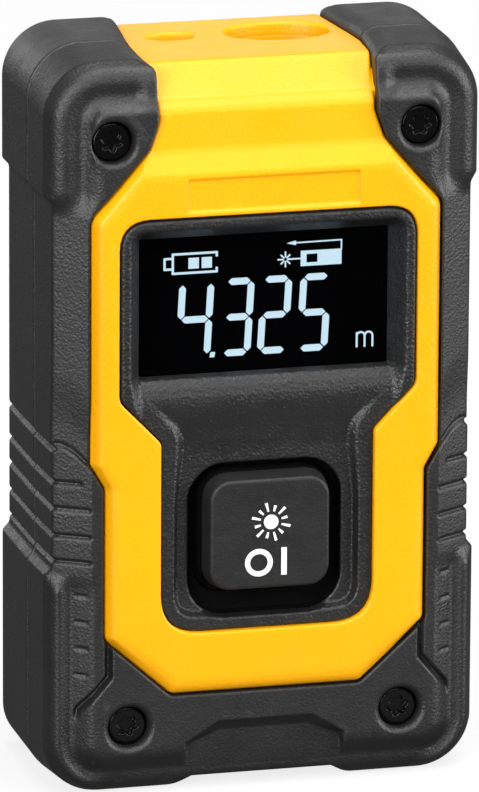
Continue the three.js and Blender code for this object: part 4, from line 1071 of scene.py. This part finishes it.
# ------------------------------------------------------------------ floor, light and camera
def floor():
    m = bpy.data.materials.new("floor")
    m.use_nodes = True
    nt = m.node_tree
    bs = nt.nodes["Principled BSDF"]
    bs.inputs["Roughness"].default_value = 0.9
    bs.inputs["Specular IOR Level"].default_value = 0.0
    tc = nt.nodes.new("ShaderNodeTexCoord")
    n = nt.nodes.new("ShaderNodeTexNoise")
    n.inputs["Scale"].default_value = 3
    nt.links.new(tc.outputs["Object"], n.inputs["Vector"])
    r = nt.nodes.new("ShaderNodeMix")
    r.data_type = "RGBA"
    r.inputs[6].default_value = (0.14, 0.14, 0.14, 1)
    r.inputs[7].default_value = (0.17, 0.17, 0.17, 1)
    nt.links.new(n.outputs["Fac"], r.inputs["Factor"])
    nt.links.new(r.outputs[2], bs.inputs["Base Color"])
    bs.inputs["Emission Color"].default_value = (1, 1, 1, 1)
    bs.inputs["Emission Strength"].default_value = 0.8
    me = bpy.data.meshes.new("floor")
    s = 5.0
    me.from_pydata([(-s, -s, 0), (s, -s, 0), (s, s, 0), (-s, s, 0)], [], [(0, 1, 2, 3)])
    o = bpy.data.objects.new("floor", me)
    bpy.context.scene.collection.objects.link(o)
    me.materials.append(m)
    o.visible_glossy = False
    o.visible_diffuse = False


def area(name, location, target, size, power, size_y=None):
    li = bpy.data.lights.new(name, "AREA")
    li.energy = power
    li.size = size
    if size_y:
        li.shape = "RECTANGLE"
        li.size_y = size_y
    o = bpy.data.objects.new(name, li)
    bpy.context.scene.collection.objects.link(o)
    o.visible_camera = False
    o.location = location
    o.rotation_mode = "QUATERNION"
    o.rotation_quaternion = (Vector(target) - Vector(location)).to_track_quat("-Z", "Y")
    return o


def backdrop():
    """Pale all round behind the floor, seen only by the camera."""
    m = bpy.data.materials.new("backdrop")
    m.use_nodes = True
    nt = m.node_tree
    nt.nodes.clear()
    e = nt.nodes.new("ShaderNodeEmission")
    e.inputs[0].default_value = (0.97, 0.97, 0.97, 1)
    out = nt.nodes.new("ShaderNodeOutputMaterial")
    nt.links.new(e.outputs[0], out.inputs[0])
    n, rings, r = 32, 10, 4.9
    verts = [(r * math.cos(b) * math.cos(a), r * math.cos(b) * math.sin(a), r * math.sin(b) - 0.02)
             for b in (math.pi / 2 * k / rings for k in range(rings)) for a in (2 * math.pi * i / n for i in range(n))]
    faces = [(k * n + (i + 1) % n, k * n + i, (k + 1) * n + i, (k + 1) * n + (i + 1) % n)
             for k in range(rings - 1) for i in range(n)]
    me = bpy.data.meshes.new("backdrop")
    me.from_pydata(verts, [], faces)
    me.materials.append(m)
    o = bpy.data.objects.new("backdrop", me)
    bpy.context.scene.collection.objects.link(o)
    for flag in ("visible_diffuse", "visible_glossy", "visible_transmission", "visible_volume_scatter", "visible_shadow"):
        setattr(o, flag, False)


floor()
backdrop()
area("top", (0.05, -0.12, 0.80), (0, 0, 0.05), 0.7, 7.3, 0.6)
area("left", (-0.61, -0.69, 0.30), (0, 0, 0.05), 0.6, 10.8, 0.7)
area("right", (0.75, -0.40, 0.20), (0, 0, 0.05), 0.6, 8.2, 0.6)
area("front", (0.1, -0.90, 0.65), (0, 0, 0.05), 0.5, 2.6, 0.5)
area("back", (0.0, 1.05, 0.38), (0, 0, 0.07), 1.1, 1.25, 0.4)
area("rim", (-0.33, 1.00, 0.20), (0, 0, 0.06), 0.4, 0.9, 0.35)
area("bounce", (0, -0.040, 0.0006), (0, -0.040, 1), 0.10, 0.0028, 0.03)

w = bpy.data.worlds.new("studio")
bpy.context.scene.world = w
w.use_nodes = True
w.node_tree.nodes["Background"].inputs[0].default_value = (1, 1, 1, 1)
w.node_tree.nodes["Background"].inputs[1].default_value = 0.14
bpy.context.scene.view_settings.view_transform = "Standard"
bpy.context.scene.view_settings.look = "None"

psi, el, rho = math.radians(14.75), math.radians(15.74), math.radians(0.38)
back = Vector((-math.sin(psi) * math.cos(el), -math.cos(psi) * math.cos(el), math.sin(el)))
right = Vector((math.cos(psi), -math.sin(psi), 0))
up = back.cross(right)
r2 = right * math.cos(rho) + up * math.sin(rho)
u2 = up * math.cos(rho) - right * math.sin(rho)
aim = Vector((0, -0.01095, 0.04515))
cam = bpy.data.cameras.new("camera")
cam.sensor_width = 36.0
cam.lens = 36.0 * 9174 / 792
cam.shift_x, cam.shift_y = -27.4 / 792, 8.25 / 792
cam.clip_start, cam.clip_end = 0.05, 20
co = bpy.data.objects.new("camera", cam)
bpy.context.scene.collection.objects.link(co)
loc = aim + back * 1.0306
co.matrix_world = Matrix((
    (r2.x, u2.x, back.x, loc.x), (r2.y, u2.y, back.y, loc.y), (r2.z, u2.z, back.z, loc.z), (0, 0, 0, 1)))
bpy.context.scene.camera = co
print(f"script total {time.time() - t0:.1f} s")
